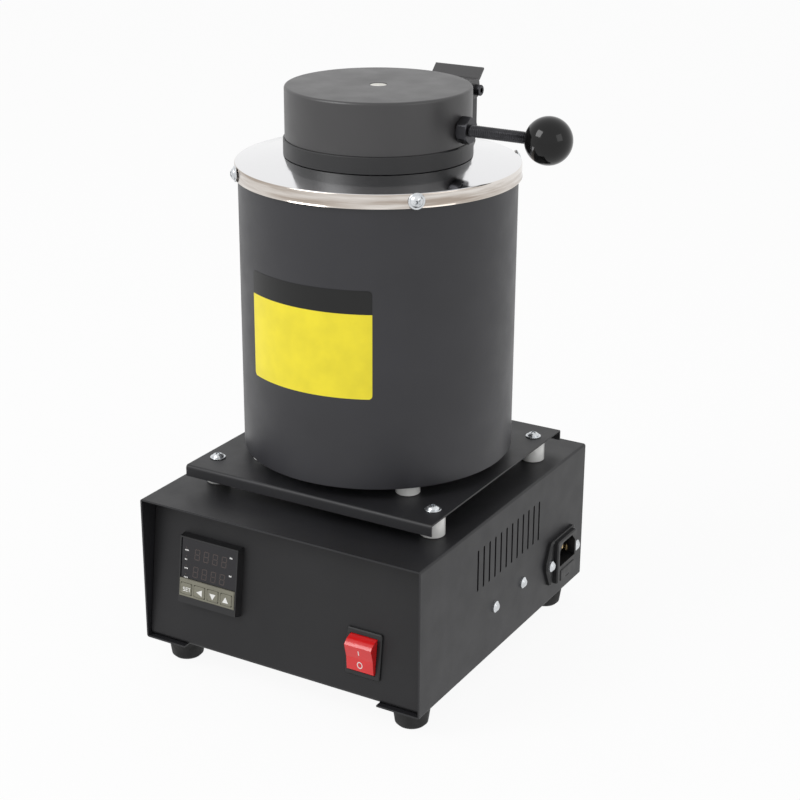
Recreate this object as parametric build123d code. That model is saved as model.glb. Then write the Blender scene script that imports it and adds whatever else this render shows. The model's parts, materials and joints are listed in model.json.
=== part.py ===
from build123d import *
import math
import os

# Electric melting furnace on a sheet-metal base box. Millimetres, +Z up.
# The origin is on the floor, under the middle of the base box; the controls face -Y.

# Base box
base_width = 210.0
base_depth = 235.0
cover_height = 101.0
cover_sheet = 1.2
cover_fold = 0.4
sheet_bend = 1.6
cover_lip = 31.0
foot_height = 17.4
foot_top_radius = 12.6
foot_floor_radius = 10.2
foot_edge_round = 1.6
foot_inset_x = 17.5
foot_inset_y = 21.2
foot_bolt_radius = 2.5
panel_lean = 7.35
panel_setback = 2.5
rear_setback = 2.0
tray_flange = 11.0
tray_gap = 0.4

# Vent slots in both side walls
slot_count = 12
slot_pitch = 8.0
slot_width = 2.0
slot_length = 29.0
slot_middle_y = 1.0
slot_middle_z = 87.6

# Temperature controller
controller_x = -55.8
controller_up = 54.4
bezel_size = 48.0
bezel_proud = 5.5
bezel_draft = 12.0
bezel_rim = 1.0
window_height = 27.6
window_recess = 0.7
window_thick = 1.2
keypad_height = 12.4
keypad_proud = 0.9
key_width = 8.6
key_height = 7.6
key_proud = 0.5
key_travel = 0.4
case_size = 44.8
case_depth = 72.0
clamp_width = 4.0
clamp_thick = 3.0

# Rocker switch
switch_x = 61.6
switch_up = 30.4
switch_width = 25.6
switch_height = 31.0
switch_flange = 2.0
switch_lip = 1.3
blade_width = 6.3
blade_thick = 0.8
blade_length = 8.0
rocker_width = 19.4
rocker_radius = 12.15
rocker_pivot_depth = 1.0
rocker_half_angle = 40.1
rocker_throw = 17.0
rocker_valley = 5.0
switch_body_depth = 22.0

# Mains inlet with its fuse drawer
inlet_y = 80.9
inlet_z = 47.6
inlet_half_width = 25.0
inlet_half_height = 16.5
inlet_shoulder = 18.4
inlet_ear = 2.6
inlet_flange = 3.0
inlet_raise = 3.0
inlet_body_width = 30.0
inlet_body_height = 31.0
inlet_body_depth = 24.0
inlet_screw_pitch = 40.0
socket_width = 24.4
socket_height = 16.8
socket_depth = 17.0
socket_up = 5.2
socket_cut = 5.2
pin_pitch = 7.0
pin_lift = 2.0
pin_width = 2.0
pin_height = 4.0
pin_length = 13.0
drawer_width = 21.0
drawer_height = 8.0
drawer_length = 20.0
drawer_down = 10.6
drawer_proud = 0.6
drawer_floor = 1.0
fuse_radius = 2.5
fuse_back = 11.5
fuse_length = 17.0

# Screw heads and nuts
screw_radius = 2.0
head_radius = 3.9
head_height = 2.5
washer_radius = 5.2
washer_thick = 0.9
nut_across = 7.0
nut_thick = 3.2

# Relay and terminal block inside the base
relay_length = 58.0
relay_width = 44.5
relay_height = 23.0
relay_foot = 3.0
relay_notch = 11.0
relay_pitch = 47.6
relay_x = -62.0
relay_y = 45.0
terminal_pitch = 40.4
terminal_middle_y = 2.4
terminal_z = 51.2
terminal_depth = 12.0
terminal_half_length = 27.0
terminal_half_height = 9.0
terminal_notch = 8.0

# Heat-shield plate on its spacers
shield_width = 184.6
shield_depth = 183.4
shield_sheet = 1.2
shield_fold = 7.6
shield_screw_x = 81.7
shield_screw_y = 70.5
spacer_radius = 8.0
spacer_height = 15.2

# Drum
drum_x = 2.8
drum_y = 4.2
drum_radius = 89.3
drum_height = 189.0
drum_sheet = 1.0
drum_dish_height = 9.0
drum_spacer_height = 7.7
drum_bolt_circle = 77.0

# Top cap
cap_radius = 91.3
cap_lip_flare = 0.4
cap_lip_height = 0.8
cap_skirt = 8.7
cap_rise = 4.0
cap_sheet = 0.8
cap_crease = 1.2
cap_screw_down = 4.3
cap_screw_length = 4.4

# Mouth collar and lid
collar_radius = 60.3
collar_height = 10.9
collar_seat = 8.0
collar_rim_gap = 0.4
spigot_wall = 2.0
spigot_gap = 0.3
lid_radius = 59.2
lid_height = 32.7
lid_sheet = 1.5
lid_edge_round = 1.9
lid_hole_radius = 5.4
lid_seat_gap = 0.3

# Handle of the lid
handle_down = 22.0
handle_nut_across = 15.4
handle_nut_thick = 7.0
handle_rod_radius = 3.8
knob_reach = 118.6
knob_radius = 14.8
knob_neck_radius = 6.4
knob_bore_depth = 15.0

# Lid hinge
hinge_side = 8.6
hinge_reach = 81.0
hinge_down = 14.3
hinge_width = 36.0
hinge_sheet = 1.5
post_sheet = 2.0
post_half_depth = 5.0
post_top_radius = 4.8
post_cheek_gap = 0.3
web_above_pin = 7.1
web_past_pin = 3.9
stop_flap = 8.6
stop_flap_angle = 45.0
hinge_pin_radius = 2.0
hinge_head_radius = 3.6
hinge_head_height = 3.9

# Heated chamber
board_height = 36.0
chamber_radius = 38.0
chamber_wall = 8.0
jacket_clearance = 3.4
jacket_gap = 0.8
coil_wire_radius = 1.2
coil_turns = 11
coil_pitch = 11.0
hearth_height = 18.0
crucible_radius = 33.0
crucible_foot_radius = 29.0
crucible_wall = 7.0
crucible_height = 122.0
terminal_rod_radius = 2.0
terminal_bead_radius = 5.0
bead_drop = 8.0
lead_drop = 16.0
probe_drop = 24.0
probe_rise = 70.0
probe_radius = 3.0
fit_gap = 0.1
slide_gap = 0.25
pin_gap = 0.05

# Levels worked out from the sizes above
base_top = foot_height + cover_height
shield_under = base_top + spacer_height
shield_top = shield_under + shield_sheet
drum_under = shield_top + drum_spacer_height
drum_top = drum_under + drum_height
cap_edge_z = drum_top + cap_sheet + fit_gap
collar_under = cap_edge_z + cap_rise
lid_under = collar_under + collar_height
lid_top = lid_under + lid_height
handle_z = lid_top - handle_down
hinge_z = lid_top - hinge_down
hinge_y = drum_y + hinge_reach
hinge_x = drum_x + hinge_side
cap_slope = cap_rise / (cap_radius - collar_radius)
tray_floor = foot_height + cover_sheet
panel_foot_y = -base_depth / 2 + panel_setback
wall_x = base_width / 2
lean = math.radians(panel_lean)
panel = Plane((0, panel_foot_y, tray_floor), x_dir=(1, 0, 0), z_dir=(0, -math.cos(lean), math.sin(lean)))
side_wall = Plane((wall_x, 0, 0), x_dir=(0, 1, 0), z_dir=(1, 0, 0))
corners = [(-1, -1), (-1, 1), (1, -1), (1, 1)]
foot_places = [(a * (wall_x - foot_inset_x), b * (base_depth / 2 - foot_inset_y)) for a, b in corners]
shield_places = [(drum_x + a * shield_screw_x, drum_y + b * shield_screw_y) for a, b in corners]
quarter_angles = [45, 135, 225, 315]
drum_places = [
    (
        drum_x + drum_bolt_circle * math.cos(math.radians(angle)),
        drum_y + drum_bolt_circle * math.sin(math.radians(angle)),
    )
    for angle in quarter_angles
]
terminal_places = [terminal_middle_y - terminal_pitch / 2, terminal_middle_y + terminal_pitch / 2]
inlet_screw_places = [inlet_y - inlet_screw_pitch / 2, inlet_y + inlet_screw_pitch / 2]
cap_screw_z = cap_edge_z - cap_screw_down
cap_screw_seat = cap_radius + cap_lip_flare + fit_gap
cap_hole = collar_radius - collar_seat
knob_neck = knob_reach - math.sqrt(knob_radius**2 - knob_neck_radius**2)
post_half_width = hinge_width / 2 - hinge_sheet - post_cheek_gap
hinge_screw_places = [hinge_x - 8.0, hinge_x + 8.0]
jacket_radius = drum_radius - drum_sheet - jacket_gap
board_radius = drum_radius - 2 * drum_sheet - fit_gap - sheet_bend
jacket_bore = chamber_radius + chamber_wall + jacket_clearance
coil_radius = chamber_radius + chamber_wall + coil_wire_radius + fit_gap
lead_radius = coil_radius + coil_wire_radius + terminal_rod_radius + slide_gap
lead_angles = [100, 140]
probe_angle = 70
probe_circle = coil_radius + coil_wire_radius + probe_radius + slide_gap
board_under = drum_under + drum_sheet
board_top = board_under + board_height
chamber_top = drum_top
hearth_top = board_top + hearth_height


def rod(radius, low, high, x=0.0, y=0.0):
    return Pos(x, y, (low + high) / 2) * Cylinder(radius, high - low)


def pipe(outer, inner, low, high, x=0.0, y=0.0):
    return rod(outer, low, high, x, y) - rod(inner, low - 1, high + 1, x, y)


def block(x0, x1, y0, y1, z0, z1):
    return Pos((x0 + x1) / 2, (y0 + y1) / 2, (z0 + z1) / 2) * Box(x1 - x0, y1 - y0, z1 - z0)


def group(solids):
    return Compound(children=list(solids))


def around_drum(radius, angle):
    turn = math.radians(angle)
    return drum_x + radius * math.cos(turn), drum_y + radius * math.sin(turn)


def folded_sheet(points, thickness, bend):
    # The section of a folded sheet. The points follow one skin, and the metal is
    # to its left, or to its right where the thickness is negative.
    skin = [Vector(*point) for point in points]
    runs = [(b - a).normalized() for a, b in zip(skin, skin[1:])]
    normals = [Vector(-run.Y, run.X) for run in runs]
    other = [skin[0] + normals[0] * thickness]
    near_radii = []
    far_radii = []
    for corner, before, after in zip(skin[1:], range(len(runs)), range(1, len(runs))):
        middle = normals[before] + normals[after]
        other.append(corner + middle * (thickness / (1 + normals[before].dot(normals[after]))))
        inside_far = (runs[before].X * runs[after].Y - runs[before].Y * runs[after].X) * thickness > 0
        wide = bend + abs(thickness)
        near_radii.append(wide if inside_far else bend)
        far_radii.append(bend if inside_far else wide)
    other.append(skin[-1] + normals[-1] * thickness)
    radii = [0] + near_radii + [0, 0] + far_radii[::-1] + [0]
    outline = skin + other[::-1]
    return make_face(FilletPolyline(*outline, radius=radii, close=True))


def across(face, width, middle=0.0):
    # Extrudes a section drawn in Y and Z along X, about the given middle.
    solid = extrude(Plane.YZ * face, amount=width / 2, both=True)
    return Pos(middle, 0, 0) * solid


def turned(points):
    # Turns a closed outline of radius and height about the drum's axis.
    face = make_face(Polyline(*points, close=True))
    return Pos(drum_x, drum_y, 0) * revolve(Plane.XZ * face, Axis.Z)


def pan_screw(length):
    # A pan-head screw that points down, with the underside of its head at z = 0.
    profile = [
        (0, head_height),
        (head_radius * 0.55, head_height),
        (head_radius, head_height * 0.45),
        (head_radius, 0),
        (screw_radius, 0),
        (screw_radius, -length),
        (0, -length),
    ]
    face = make_face(Polyline(*profile, close=True))
    return revolve(Plane.XZ * face, Axis.Z)


def washer():
    # A flat washer that lies on z = 0.
    return Pos(0, 0, washer_thick / 2) * (
        Cylinder(washer_radius, washer_thick) - Cylinder(screw_radius + fit_gap, washer_thick * 2)
    )


def hex_nut(across_flats, thickness, bore):
    # A nut that stands on z = 0.
    face = RegularPolygon(across_flats / 2, 6, major_radius=False) - Circle(bore)
    return extrude(face, amount=thickness)


def bead_holes(low, high):
    # Holes for the heater's two beads and for the probe.
    holes = [rod(probe_radius + slide_gap, low, high, *around_drum(probe_circle, probe_angle))]
    for angle in lead_angles:
        holes.append(rod(terminal_bead_radius + slide_gap, low, high, *around_drum(lead_radius, angle)))
    return holes


def grid_slots(plane_x, depth):
    # The row of upright vent slots, cut through one side wall.
    places = [slot_middle_y + (i - (slot_count - 1) / 2) * slot_pitch for i in range(slot_count)]
    slot = SlotOverall(slot_length, slot_width, rotation=90)
    cut = Sketch() + [Pos(y, slot_middle_z) * slot for y in places]
    return extrude(Plane((plane_x, 0, 0), x_dir=(0, 1, 0), z_dir=(1, 0, 0)) * cut, amount=depth, both=True)


def inlet_outline():
    # The inlet's flange: a long hexagon whose two ears carry the screws.
    outline = [
        (-inlet_shoulder, inlet_half_height),
        (inlet_shoulder, inlet_half_height),
        (inlet_half_width, inlet_ear),
        (inlet_half_width, -inlet_ear),
        (inlet_shoulder, -inlet_half_height),
        (-inlet_shoulder, -inlet_half_height),
        (-inlet_half_width, -inlet_ear),
        (-inlet_half_width, inlet_ear),
    ]
    face = make_face(Polyline(*outline, close=True))
    return fillet(face.vertices(), 2.4)


def base_cover():
    outer = RectangleRounded(base_width, cover_height, cover_fold + cover_sheet)
    inner = RectangleRounded(base_width - 2 * cover_sheet, cover_height - 2 * cover_sheet, cover_fold)
    gap = Pos(0, -cover_height / 2) * Rectangle(base_width - 2 * cover_lip, 4 * cover_sheet)
    section = outer - inner - gap
    cover = extrude(Plane.XZ * section, amount=base_depth / 2, both=True)
    cover = Pos(0, 0, foot_height + cover_height / 2) * cover
    for side in (-1, 1):
        cover -= grid_slots(side * wall_x, 2 * cover_sheet)
    for x, y in foot_places:
        cover -= rod(foot_bolt_radius + fit_gap, foot_height - 1, tray_floor + 1, x, y)
    for x, y in shield_places:
        cover -= rod(screw_radius + fit_gap, base_top - 3, base_top + 1, x, y)
    cover -= bead_holes(base_top - 3, base_top + 1)
    screw_hole = Cylinder(screw_radius + fit_gap, 4 * cover_sheet)
    for y in terminal_places:
        cover -= side_wall * Pos(y, terminal_z, 0) * screw_hole
    for y in inlet_screw_places:
        cover -= side_wall * Pos(y, inlet_z, 0) * screw_hole
    window = Rectangle(inlet_body_width + 2 * fit_gap, inlet_body_height + 2 * fit_gap)
    cover -= extrude(side_wall * Pos(inlet_y, inlet_z) * window, amount=3 * cover_sheet, both=True)
    return cover


def chassis_tray():
    top = base_top - cover_sheet - tray_gap
    rear_y = base_depth / 2 - rear_setback
    panel_top_y = panel_foot_y + (top - tray_floor) * math.tan(lean)
    points = [
        (panel_top_y + tray_flange, top),
        (panel_top_y, top),
        (panel_foot_y, tray_floor),
        (rear_y, tray_floor),
        (rear_y, top),
        (rear_y - tray_flange, top),
    ]
    tray = across(folded_sheet(points, cover_sheet, sheet_bend), base_width - 2 * (cover_sheet + tray_gap))
    controller_cut = Box(case_size + 2 * slide_gap, case_size + 2 * slide_gap, 6 * cover_sheet)
    switch_cut = Box(switch_width - 2 * switch_lip, switch_height - 2 * switch_lip, 6 * cover_sheet)
    tray -= panel * Pos(controller_x, controller_up, 0) * controller_cut
    tray -= panel * Pos(switch_x, switch_up, 0) * switch_cut
    for x, y in foot_places:
        tray -= rod(foot_bolt_radius + fit_gap, tray_floor - 1, tray_floor + 3, x, y)
    for x in relay_screw_places():
        tray -= rod(screw_radius + fit_gap, tray_floor - 1, tray_floor + 3, x, relay_y)
    return tray


def rubber_feet():
    feet = []
    for x, y in foot_places:
        outline = [
            (foot_bolt_radius + fit_gap, 5.0),
            (foot_bolt_radius + fit_gap, foot_height),
            (foot_top_radius, foot_height),
            (foot_top_radius, foot_height - 3.0),
            (foot_floor_radius + 0.5, foot_edge_round),
            (foot_floor_radius - foot_edge_round + 0.6, 0),
            (6.5, 0),
            (6.5, 5.0),
        ]
        face = make_face(Polyline(*outline, close=True))
        feet.append(Pos(x, y, 0) * revolve(Plane.XZ * face, Axis.Z))
    return group(feet)


def foot_screws():
    # Cheese-head screws from inside each foot's recess, up through lip and tray.
    screws = []
    for x, y in foot_places:
        head = rod(5.0, 1.6, 5.0, x, y)
        shank = rod(foot_bolt_radius, 5.0, tray_floor + cover_sheet + 6.0, x, y)
        screws.append(head + shank)
    return group(screws)


def foot_nuts():
    height = tray_floor + cover_sheet
    nut = hex_nut(8.0, 4.0, foot_bolt_radius + pin_gap)
    return group([Pos(x, y, height) * nut for x, y in foot_places])


def bezel_face_size(height):
    # Side of the tapered bezel at a height above the panel.
    return bezel_size - 2 * height * math.tan(math.radians(bezel_draft))


def controller_bezel():
    body = extrude(RectangleRounded(bezel_size, bezel_size, 1.2), amount=bezel_proud, taper=bezel_draft)
    inside = bezel_face_size(bezel_proud) - 2 * bezel_rim
    pocket_top = inside / 2
    window = Pos(0, pocket_top - window_height / 2) * Rectangle(inside, window_height)
    depth = window_recess + window_thick
    body -= extrude(Plane.XY.offset(bezel_proud) * window, amount=-depth)
    strip = Pos(0, pocket_top - window_height - keypad_height / 2) * Rectangle(inside, keypad_height)
    body -= extrude(Plane.XY.offset(bezel_proud) * strip, amount=-depth)
    for x in key_places():
        body -= Pos(x, key_line(), bezel_proud - depth) * Box(key_width - 2, key_height - 2, 3.0)
    return panel * Pos(controller_x, controller_up, 0) * body


def key_places():
    inside = bezel_face_size(bezel_proud) - 2 * bezel_rim
    return [(i - 1.5) * inside / 4 * 0.97 for i in range(4)]


def key_line():
    inside = bezel_face_size(bezel_proud) - 2 * bezel_rim
    return inside / 2 - window_height - keypad_height / 2 - 0.4


def display_window():
    inside = bezel_face_size(bezel_proud) - 2 * bezel_rim
    pane = Rectangle(inside - 2 * fit_gap, window_height - 2 * fit_gap)
    low = bezel_proud - window_recess - window_thick
    place = Plane.XY.offset(low) * Pos(0, inside / 2 - window_height / 2)
    solid = extrude(place * pane, amount=window_thick)
    return panel * Pos(controller_x, controller_up, 0) * solid


def keypad_strip():
    inside = bezel_face_size(bezel_proud) - 2 * bezel_rim
    low = bezel_proud - window_recess - window_thick
    place = Pos(0, inside / 2 - window_height - keypad_height / 2)
    thick = bezel_proud + keypad_proud - low
    outline = Rectangle(inside - 2 * fit_gap, keypad_height - 2 * fit_gap)
    solid = extrude(Plane.XY.offset(low) * place * outline, amount=thick)
    solid = chamfer(solid.faces().sort_by(Axis.Z)[-1].edges(), 0.6)
    key_hole = Box(key_width + 2 * slide_gap, key_height + 2 * slide_gap, 3 * bezel_proud)
    for x in key_places():
        solid -= Pos(x, key_line(), bezel_proud) * key_hole
    return panel * Pos(controller_x, controller_up, 0) * solid


def key(index):
    low = bezel_proud - window_recess - window_thick + key_travel + 0.05
    high = bezel_proud + keypad_proud + key_proud
    cap = extrude(Plane.XY.offset(low) * RectangleRounded(key_width, key_height, 1.2), amount=high - low)
    cap = chamfer(cap.faces().sort_by(Axis.Z)[-1].edges(), 0.35)
    return panel * Pos(controller_x + key_places()[index], controller_up + key_line(), 0) * cap


def controller_case():
    case = extrude(RectangleRounded(case_size, case_size, 1.0), amount=-case_depth)
    for side in (-1, 1):
        groove = Pos(side * case_size / 2, 0, -case_depth * 0.55) * Box(1.6, 14.0, case_depth * 0.6)
        case -= groove
    for i in range(-3, 4):
        case -= Pos(i * 5.2, case_size / 2, -case_depth * 0.6) * Box(2.2, 2.4, case_depth * 0.4)
    return panel * Pos(controller_x, controller_up, 0) * case


def controller_clamp():
    ring = Rectangle(case_size + 2 * clamp_width, case_size + 2 * clamp_width)
    ring -= Rectangle(case_size + 2 * fit_gap, case_size + 2 * fit_gap)
    solid = extrude(Plane.XY.offset(-cover_sheet - clamp_thick) * ring, amount=clamp_thick)
    return panel * Pos(controller_x, controller_up, 0) * solid


def switch_frame():
    flange = extrude(RectangleRounded(switch_width, switch_height, 1.4), amount=switch_flange)
    flange = chamfer(flange.faces().sort_by(Axis.Z)[-1].outer_wire().edges(), 0.7)
    inset = 2 * (switch_lip + fit_gap)
    body = extrude(Rectangle(switch_width - inset, switch_height - inset), amount=-switch_body_depth)
    frame = flange + body
    half = rocker_radius + slide_gap
    well_depth = rocker_pivot_depth + half
    well = Box(rocker_width + 2 * slide_gap, 2 * half, switch_flange + 1 + well_depth)
    frame -= Pos(0, 0, (switch_flange + 1 - well_depth) / 2) * well
    blade = Box(blade_thick, blade_width, blade_length)
    for side in (-1, 1):
        for up in (0, 1.4 * blade_width):
            frame += Pos(side * switch_width / 5, up, -switch_body_depth - blade_length / 2) * blade
    return panel * Pos(switch_x, switch_up, 0) * frame


def rocker_profile():
    # Side view of the rocker, level: two top faces that meet in a shallow valley,
    # and round ends struck from the pivot.
    ridge = math.radians(rocker_half_angle)
    far_y = rocker_radius * math.cos(ridge)
    far_z = rocker_radius * math.sin(ridge)
    valley_z = far_z - far_y * math.tan(math.radians(rocker_valley))
    dip = math.radians(-38)
    low_y = rocker_radius * math.cos(dip)
    low_z = rocker_radius * math.sin(dip)
    lines = [
        Line((-far_y, far_z), (0, valley_z)),
        Line((0, valley_z), (far_y, far_z)),
        ThreePointArc((far_y, far_z), (rocker_radius, 0), (low_y, low_z)),
        Line((low_y, low_z), (-low_y, low_z)),
        ThreePointArc((-low_y, low_z), (-rocker_radius, 0), (-far_y, far_z)),
    ]
    return make_face(lines)


def switch_rocker():
    # Rests in the off position, with the upper half standing out.
    solid = across(rocker_profile(), rocker_width)
    solid = Rot(rocker_throw, 0, 0) * solid
    return panel * Pos(switch_x, switch_up, -rocker_pivot_depth) * solid


def on_wall(shape, up=0.0):
    return side_wall * Pos(inlet_y, inlet_z + up, 0) * shape


def inlet_body():
    flange = extrude(inlet_outline(), amount=inlet_flange)
    flange = chamfer(flange.faces().sort_by(Axis.Z)[-1].edges(), 1.2)
    face = inlet_flange + inlet_raise
    raised = extrude(RectangleRounded(inlet_body_width, 2 * inlet_half_height - 1, 2.0), amount=face)
    raised = chamfer(raised.faces().sort_by(Axis.Z)[-1].edges(), 0.8)
    back = extrude(Rectangle(inlet_body_width, inlet_body_height), amount=-inlet_body_depth)
    body = flange + raised + back
    body -= extrude(Plane.XY.offset(face) * Pos(0, socket_up) * socket_outline(), amount=-socket_depth)
    drawer_hole = Rectangle(drawer_width + 2 * slide_gap, drawer_height + 2 * slide_gap)
    drawer_place = Plane.XY.offset(face) * Pos(0, -drawer_down)
    body -= extrude(drawer_place * drawer_hole, amount=-drawer_length - slide_gap)
    for side in (-1, 1):
        body -= Pos(side * inlet_screw_pitch / 2, 0, 0) * Cylinder(screw_radius + fit_gap, 4 * inlet_flange)
    return on_wall(body)


def socket_outline():
    # The socket's opening, with the two upper corners cut off.
    half = socket_width / 2
    tall = socket_height / 2
    outline = [
        (-half, -tall),
        (half, -tall),
        (half, tall - socket_cut),
        (half - socket_cut, tall),
        (socket_cut - half, tall),
        (-half, tall - socket_cut),
    ]
    return make_face(Polyline(*outline, close=True))


def inlet_pins():
    # Three contact pins in the socket, and their three blades behind the body.
    floor = inlet_flange + inlet_raise - socket_depth
    pins = []
    for index in (-1, 0, 1):
        lift = socket_up + (pin_lift if index == 0 else -pin_lift)
        pin = Pos(index * pin_pitch, lift, floor + pin_length / 2) * Box(pin_width, pin_height, pin_length)
        blade = Box(blade_thick, blade_width, blade_length)
        pins.append(on_wall(pin))
        pins.append(on_wall(Pos(index * pin_pitch, lift, -inlet_body_depth - blade_length / 2) * blade))
    return group(pins)


def fuse_drawer():
    # A block with an open trough for the fuse and a finger notch in its front.
    face = inlet_flange + inlet_raise
    start = Plane.XY.offset(face - drawer_length)
    drawer = extrude(start * Rectangle(drawer_width, drawer_height), amount=drawer_length + drawer_proud)
    drawer = chamfer(drawer.faces().sort_by(Axis.Z)[-1].edges(), 0.5)
    trough = Box(fuse_length + 1.0, drawer_height, drawer_length / 2)
    drawer -= Pos(0, drawer_floor, face - fuse_back) * trough
    drawer -= Pos(0, -drawer_height / 2, face + drawer_proud) * Box(6.0, 2.0, 1.6)
    return on_wall(drawer, -drawer_down)


def fuse():
    # A glass fuse that lies across the drawer.
    face = inlet_flange + inlet_raise
    rest = drawer_floor - drawer_height / 2 + fuse_radius + pin_gap
    tube = Rot(0, 90, 0) * Cylinder(fuse_radius, fuse_length)
    return on_wall(Pos(0, rest, face - fuse_back) * tube, -drawer_down)


def wall_screw(y, z, seat, length):
    # A pan-head screw whose head lies on a face at x = seat.
    return Pos(seat, y, z) * Rot(0, 90, 0) * pan_screw(length)


def inlet_screws():
    seat = wall_x + inlet_flange
    return group([wall_screw(y, inlet_z, seat, inlet_flange + cover_sheet + 6) for y in inlet_screw_places])


def wall_nuts():
    # Nuts on the inlet's screws and on the terminal block's screws, inside the right wall.
    nut = Rot(0, -90, 0) * hex_nut(nut_across, nut_thick, screw_radius + pin_gap)
    inside = wall_x - cover_sheet
    nuts = [Pos(inside, y, inlet_z) * nut for y in inlet_screw_places]
    nuts += [Pos(inside - terminal_depth, y, terminal_z) * nut for y in terminal_places]
    return group(nuts)


def terminal_screws():
    length = cover_sheet + terminal_depth + nut_thick + 1.0
    return group([wall_screw(y, terminal_z, wall_x, length) for y in terminal_places])


def terminal_block():
    # Porcelain block on the wall's inner face, with three notches for the heater's leads.
    outline = RectangleRounded(2 * terminal_half_length, 2 * terminal_half_height, 3.0)
    place = side_wall * Pos(terminal_middle_y, terminal_z, -cover_sheet)
    body = extrude(outline, amount=-terminal_depth)
    for index in (-1, 0, 1):
        notch = Box(terminal_notch, 4 * terminal_half_height, terminal_notch)
        body -= Pos(1.5 * index * terminal_notch, 0, -terminal_depth) * notch
    for side in (-1, 1):
        body -= Pos(side * terminal_pitch / 2, 0, 0) * Cylinder(screw_radius + pin_gap, 4 * terminal_depth)
    return place * body


def relay_screw_places():
    return [relay_x - relay_pitch / 2, relay_x + relay_pitch / 2]


def solid_state_relay():
    # A metal foot with a moulded body on it, notched over the two screws.
    floor = tray_floor + cover_sheet
    body = extrude(Rectangle(relay_length, relay_width), amount=relay_foot)
    body += extrude(RectangleRounded(relay_length - 2, relay_width - 2, 2.0), amount=relay_height)
    for side in (-1, 1):
        place = Pos(side * relay_pitch / 2, 0, relay_foot + relay_height / 2)
        body -= place * Box(relay_notch, relay_notch, relay_height)
        body -= place * Cylinder(screw_radius + pin_gap, 2 * relay_height)
    return Pos(relay_x, relay_y, floor) * body


def relay_screws():
    seat = tray_floor + cover_sheet + relay_foot
    return group([Pos(x, relay_y, seat) * pan_screw(relay_foot + cover_sheet) for x in relay_screw_places()])


def heat_shield_plate():
    front = drum_y - shield_depth / 2
    rear = drum_y + shield_depth / 2
    low = shield_top - shield_fold
    points = [(front, low), (front, shield_top), (rear, shield_top), (rear, low)]
    plate = across(folded_sheet(points, -shield_sheet, sheet_bend / 2), shield_width, drum_x)
    for x, y in shield_places + drum_places:
        plate -= rod(screw_radius + fit_gap, shield_under - 1, shield_top + 1, x, y)
    return plate - bead_holes(shield_under - 1, shield_top + 1)


def spacer(low, high, x, y):
    # A glazed ceramic spacer with softened rims.
    solid = pipe(spacer_radius, screw_radius + fit_gap, low, high, x, y)
    rims = solid.edges().filter_by(GeomType.CIRCLE).sort_by(SortBy.RADIUS)[-2:]
    return chamfer(rims, 0.5)


def plate_spacers():
    return group([spacer(base_top, shield_under, x, y) for x, y in shield_places])


def plate_washers():
    return group([Pos(x, y, shield_top) * washer() for x, y in shield_places])


def plate_screws():
    length = washer_thick + shield_sheet + spacer_height + cover_sheet + nut_thick + 2
    return group([Pos(x, y, shield_top + washer_thick) * pan_screw(length) for x, y in shield_places])


def plate_nuts():
    nut = hex_nut(nut_across, nut_thick, screw_radius + pin_gap)
    low = base_top - cover_sheet - nut_thick
    return group([Pos(x, y, low) * nut for x, y in shield_places])


def drum_spacers():
    return group([spacer(shield_top, drum_under, x, y) for x, y in drum_places])


def drum_bolts():
    length = drum_sheet + drum_spacer_height + shield_sheet + nut_thick + 2
    return group([Pos(x, y, board_under) * pan_screw(length) for x, y in drum_places])


def drum_nuts():
    nut = hex_nut(nut_across, nut_thick, screw_radius + pin_gap)
    return group([Pos(x, y, shield_under - nut_thick) * nut for x, y in drum_places])


def drum_base_plate():
    # A dish pressed into the drum's foot.
    outer = drum_radius - drum_sheet - fit_gap
    points = [(outer, drum_under + drum_dish_height), (outer, drum_under), (0, drum_under)]
    face = folded_sheet(points, -drum_sheet, sheet_bend)
    dish = Pos(drum_x, drum_y, 0) * revolve(Plane.XZ * face, Axis.Z)
    for x, y in drum_places:
        dish -= rod(screw_radius + fit_gap, drum_under - 1, board_under + 1, x, y)
    return dish - bead_holes(drum_under - 1, board_under + 1)


def radial(shape, radius, angle, z):
    # Points a shape's +Z outwards from the drum's axis.
    x, y = around_drum(radius, angle)
    return Pos(x, y, z) * Rot(0, 0, angle) * Rot(0, 90, 0) * shape


def drum_shell():
    shell = pipe(drum_radius, drum_radius - drum_sheet, drum_under, drum_top, drum_x, drum_y)
    for angle in quarter_angles:
        shell -= radial(Cylinder(screw_radius + fit_gap, 12), drum_radius, angle, cap_screw_z)
    return shell


def cap_height(radius):
    # Height of the cap's sloping top at a distance from the drum's axis.
    return cap_edge_z + (cap_radius - radius) * cap_slope


def top_cap():
    lip_z = cap_edge_z - cap_skirt
    points = [
        (cap_radius + cap_lip_flare, lip_z),
        (cap_radius, lip_z + cap_lip_height),
        (cap_radius, cap_edge_z),
        (cap_hole, cap_height(cap_hole)),
    ]
    face = folded_sheet(points, cap_sheet, cap_crease - cap_sheet / 2)
    cap = Pos(drum_x, drum_y, 0) * revolve(Plane.XZ * face, Axis.Z)
    for angle in quarter_angles:
        cap -= radial(Cylinder(screw_radius + fit_gap, 12), cap_radius, angle, cap_screw_z)
    for x in hinge_screw_places:
        cap -= rod(screw_radius + 2 * slide_gap, drum_top + 1, cap_edge_z + 8, x, hinge_y)
    return cap


def cap_washers():
    return group([radial(washer(), cap_screw_seat, angle, cap_screw_z) for angle in quarter_angles])


def cap_screws():
    seat = cap_screw_seat + washer_thick
    screw = pan_screw(cap_screw_length)
    return group([radial(screw, seat, angle, cap_screw_z) for angle in quarter_angles])


def mouth_collar():
    # A turned ring that rests on the cap's inner rim, with a spigot down through the hole.
    outer = cap_hole - spigot_gap
    inner = outer - spigot_wall
    return turned([
        (inner, lid_under),
        (collar_radius - 0.6, lid_under),
        (collar_radius, lid_under - 0.6),
        (collar_radius, collar_under + collar_rim_gap),
        (outer, cap_height(outer) + pin_gap),
        (outer, drum_top + collar_rim_gap),
        (inner, drum_top + collar_rim_gap),
    ])


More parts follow.
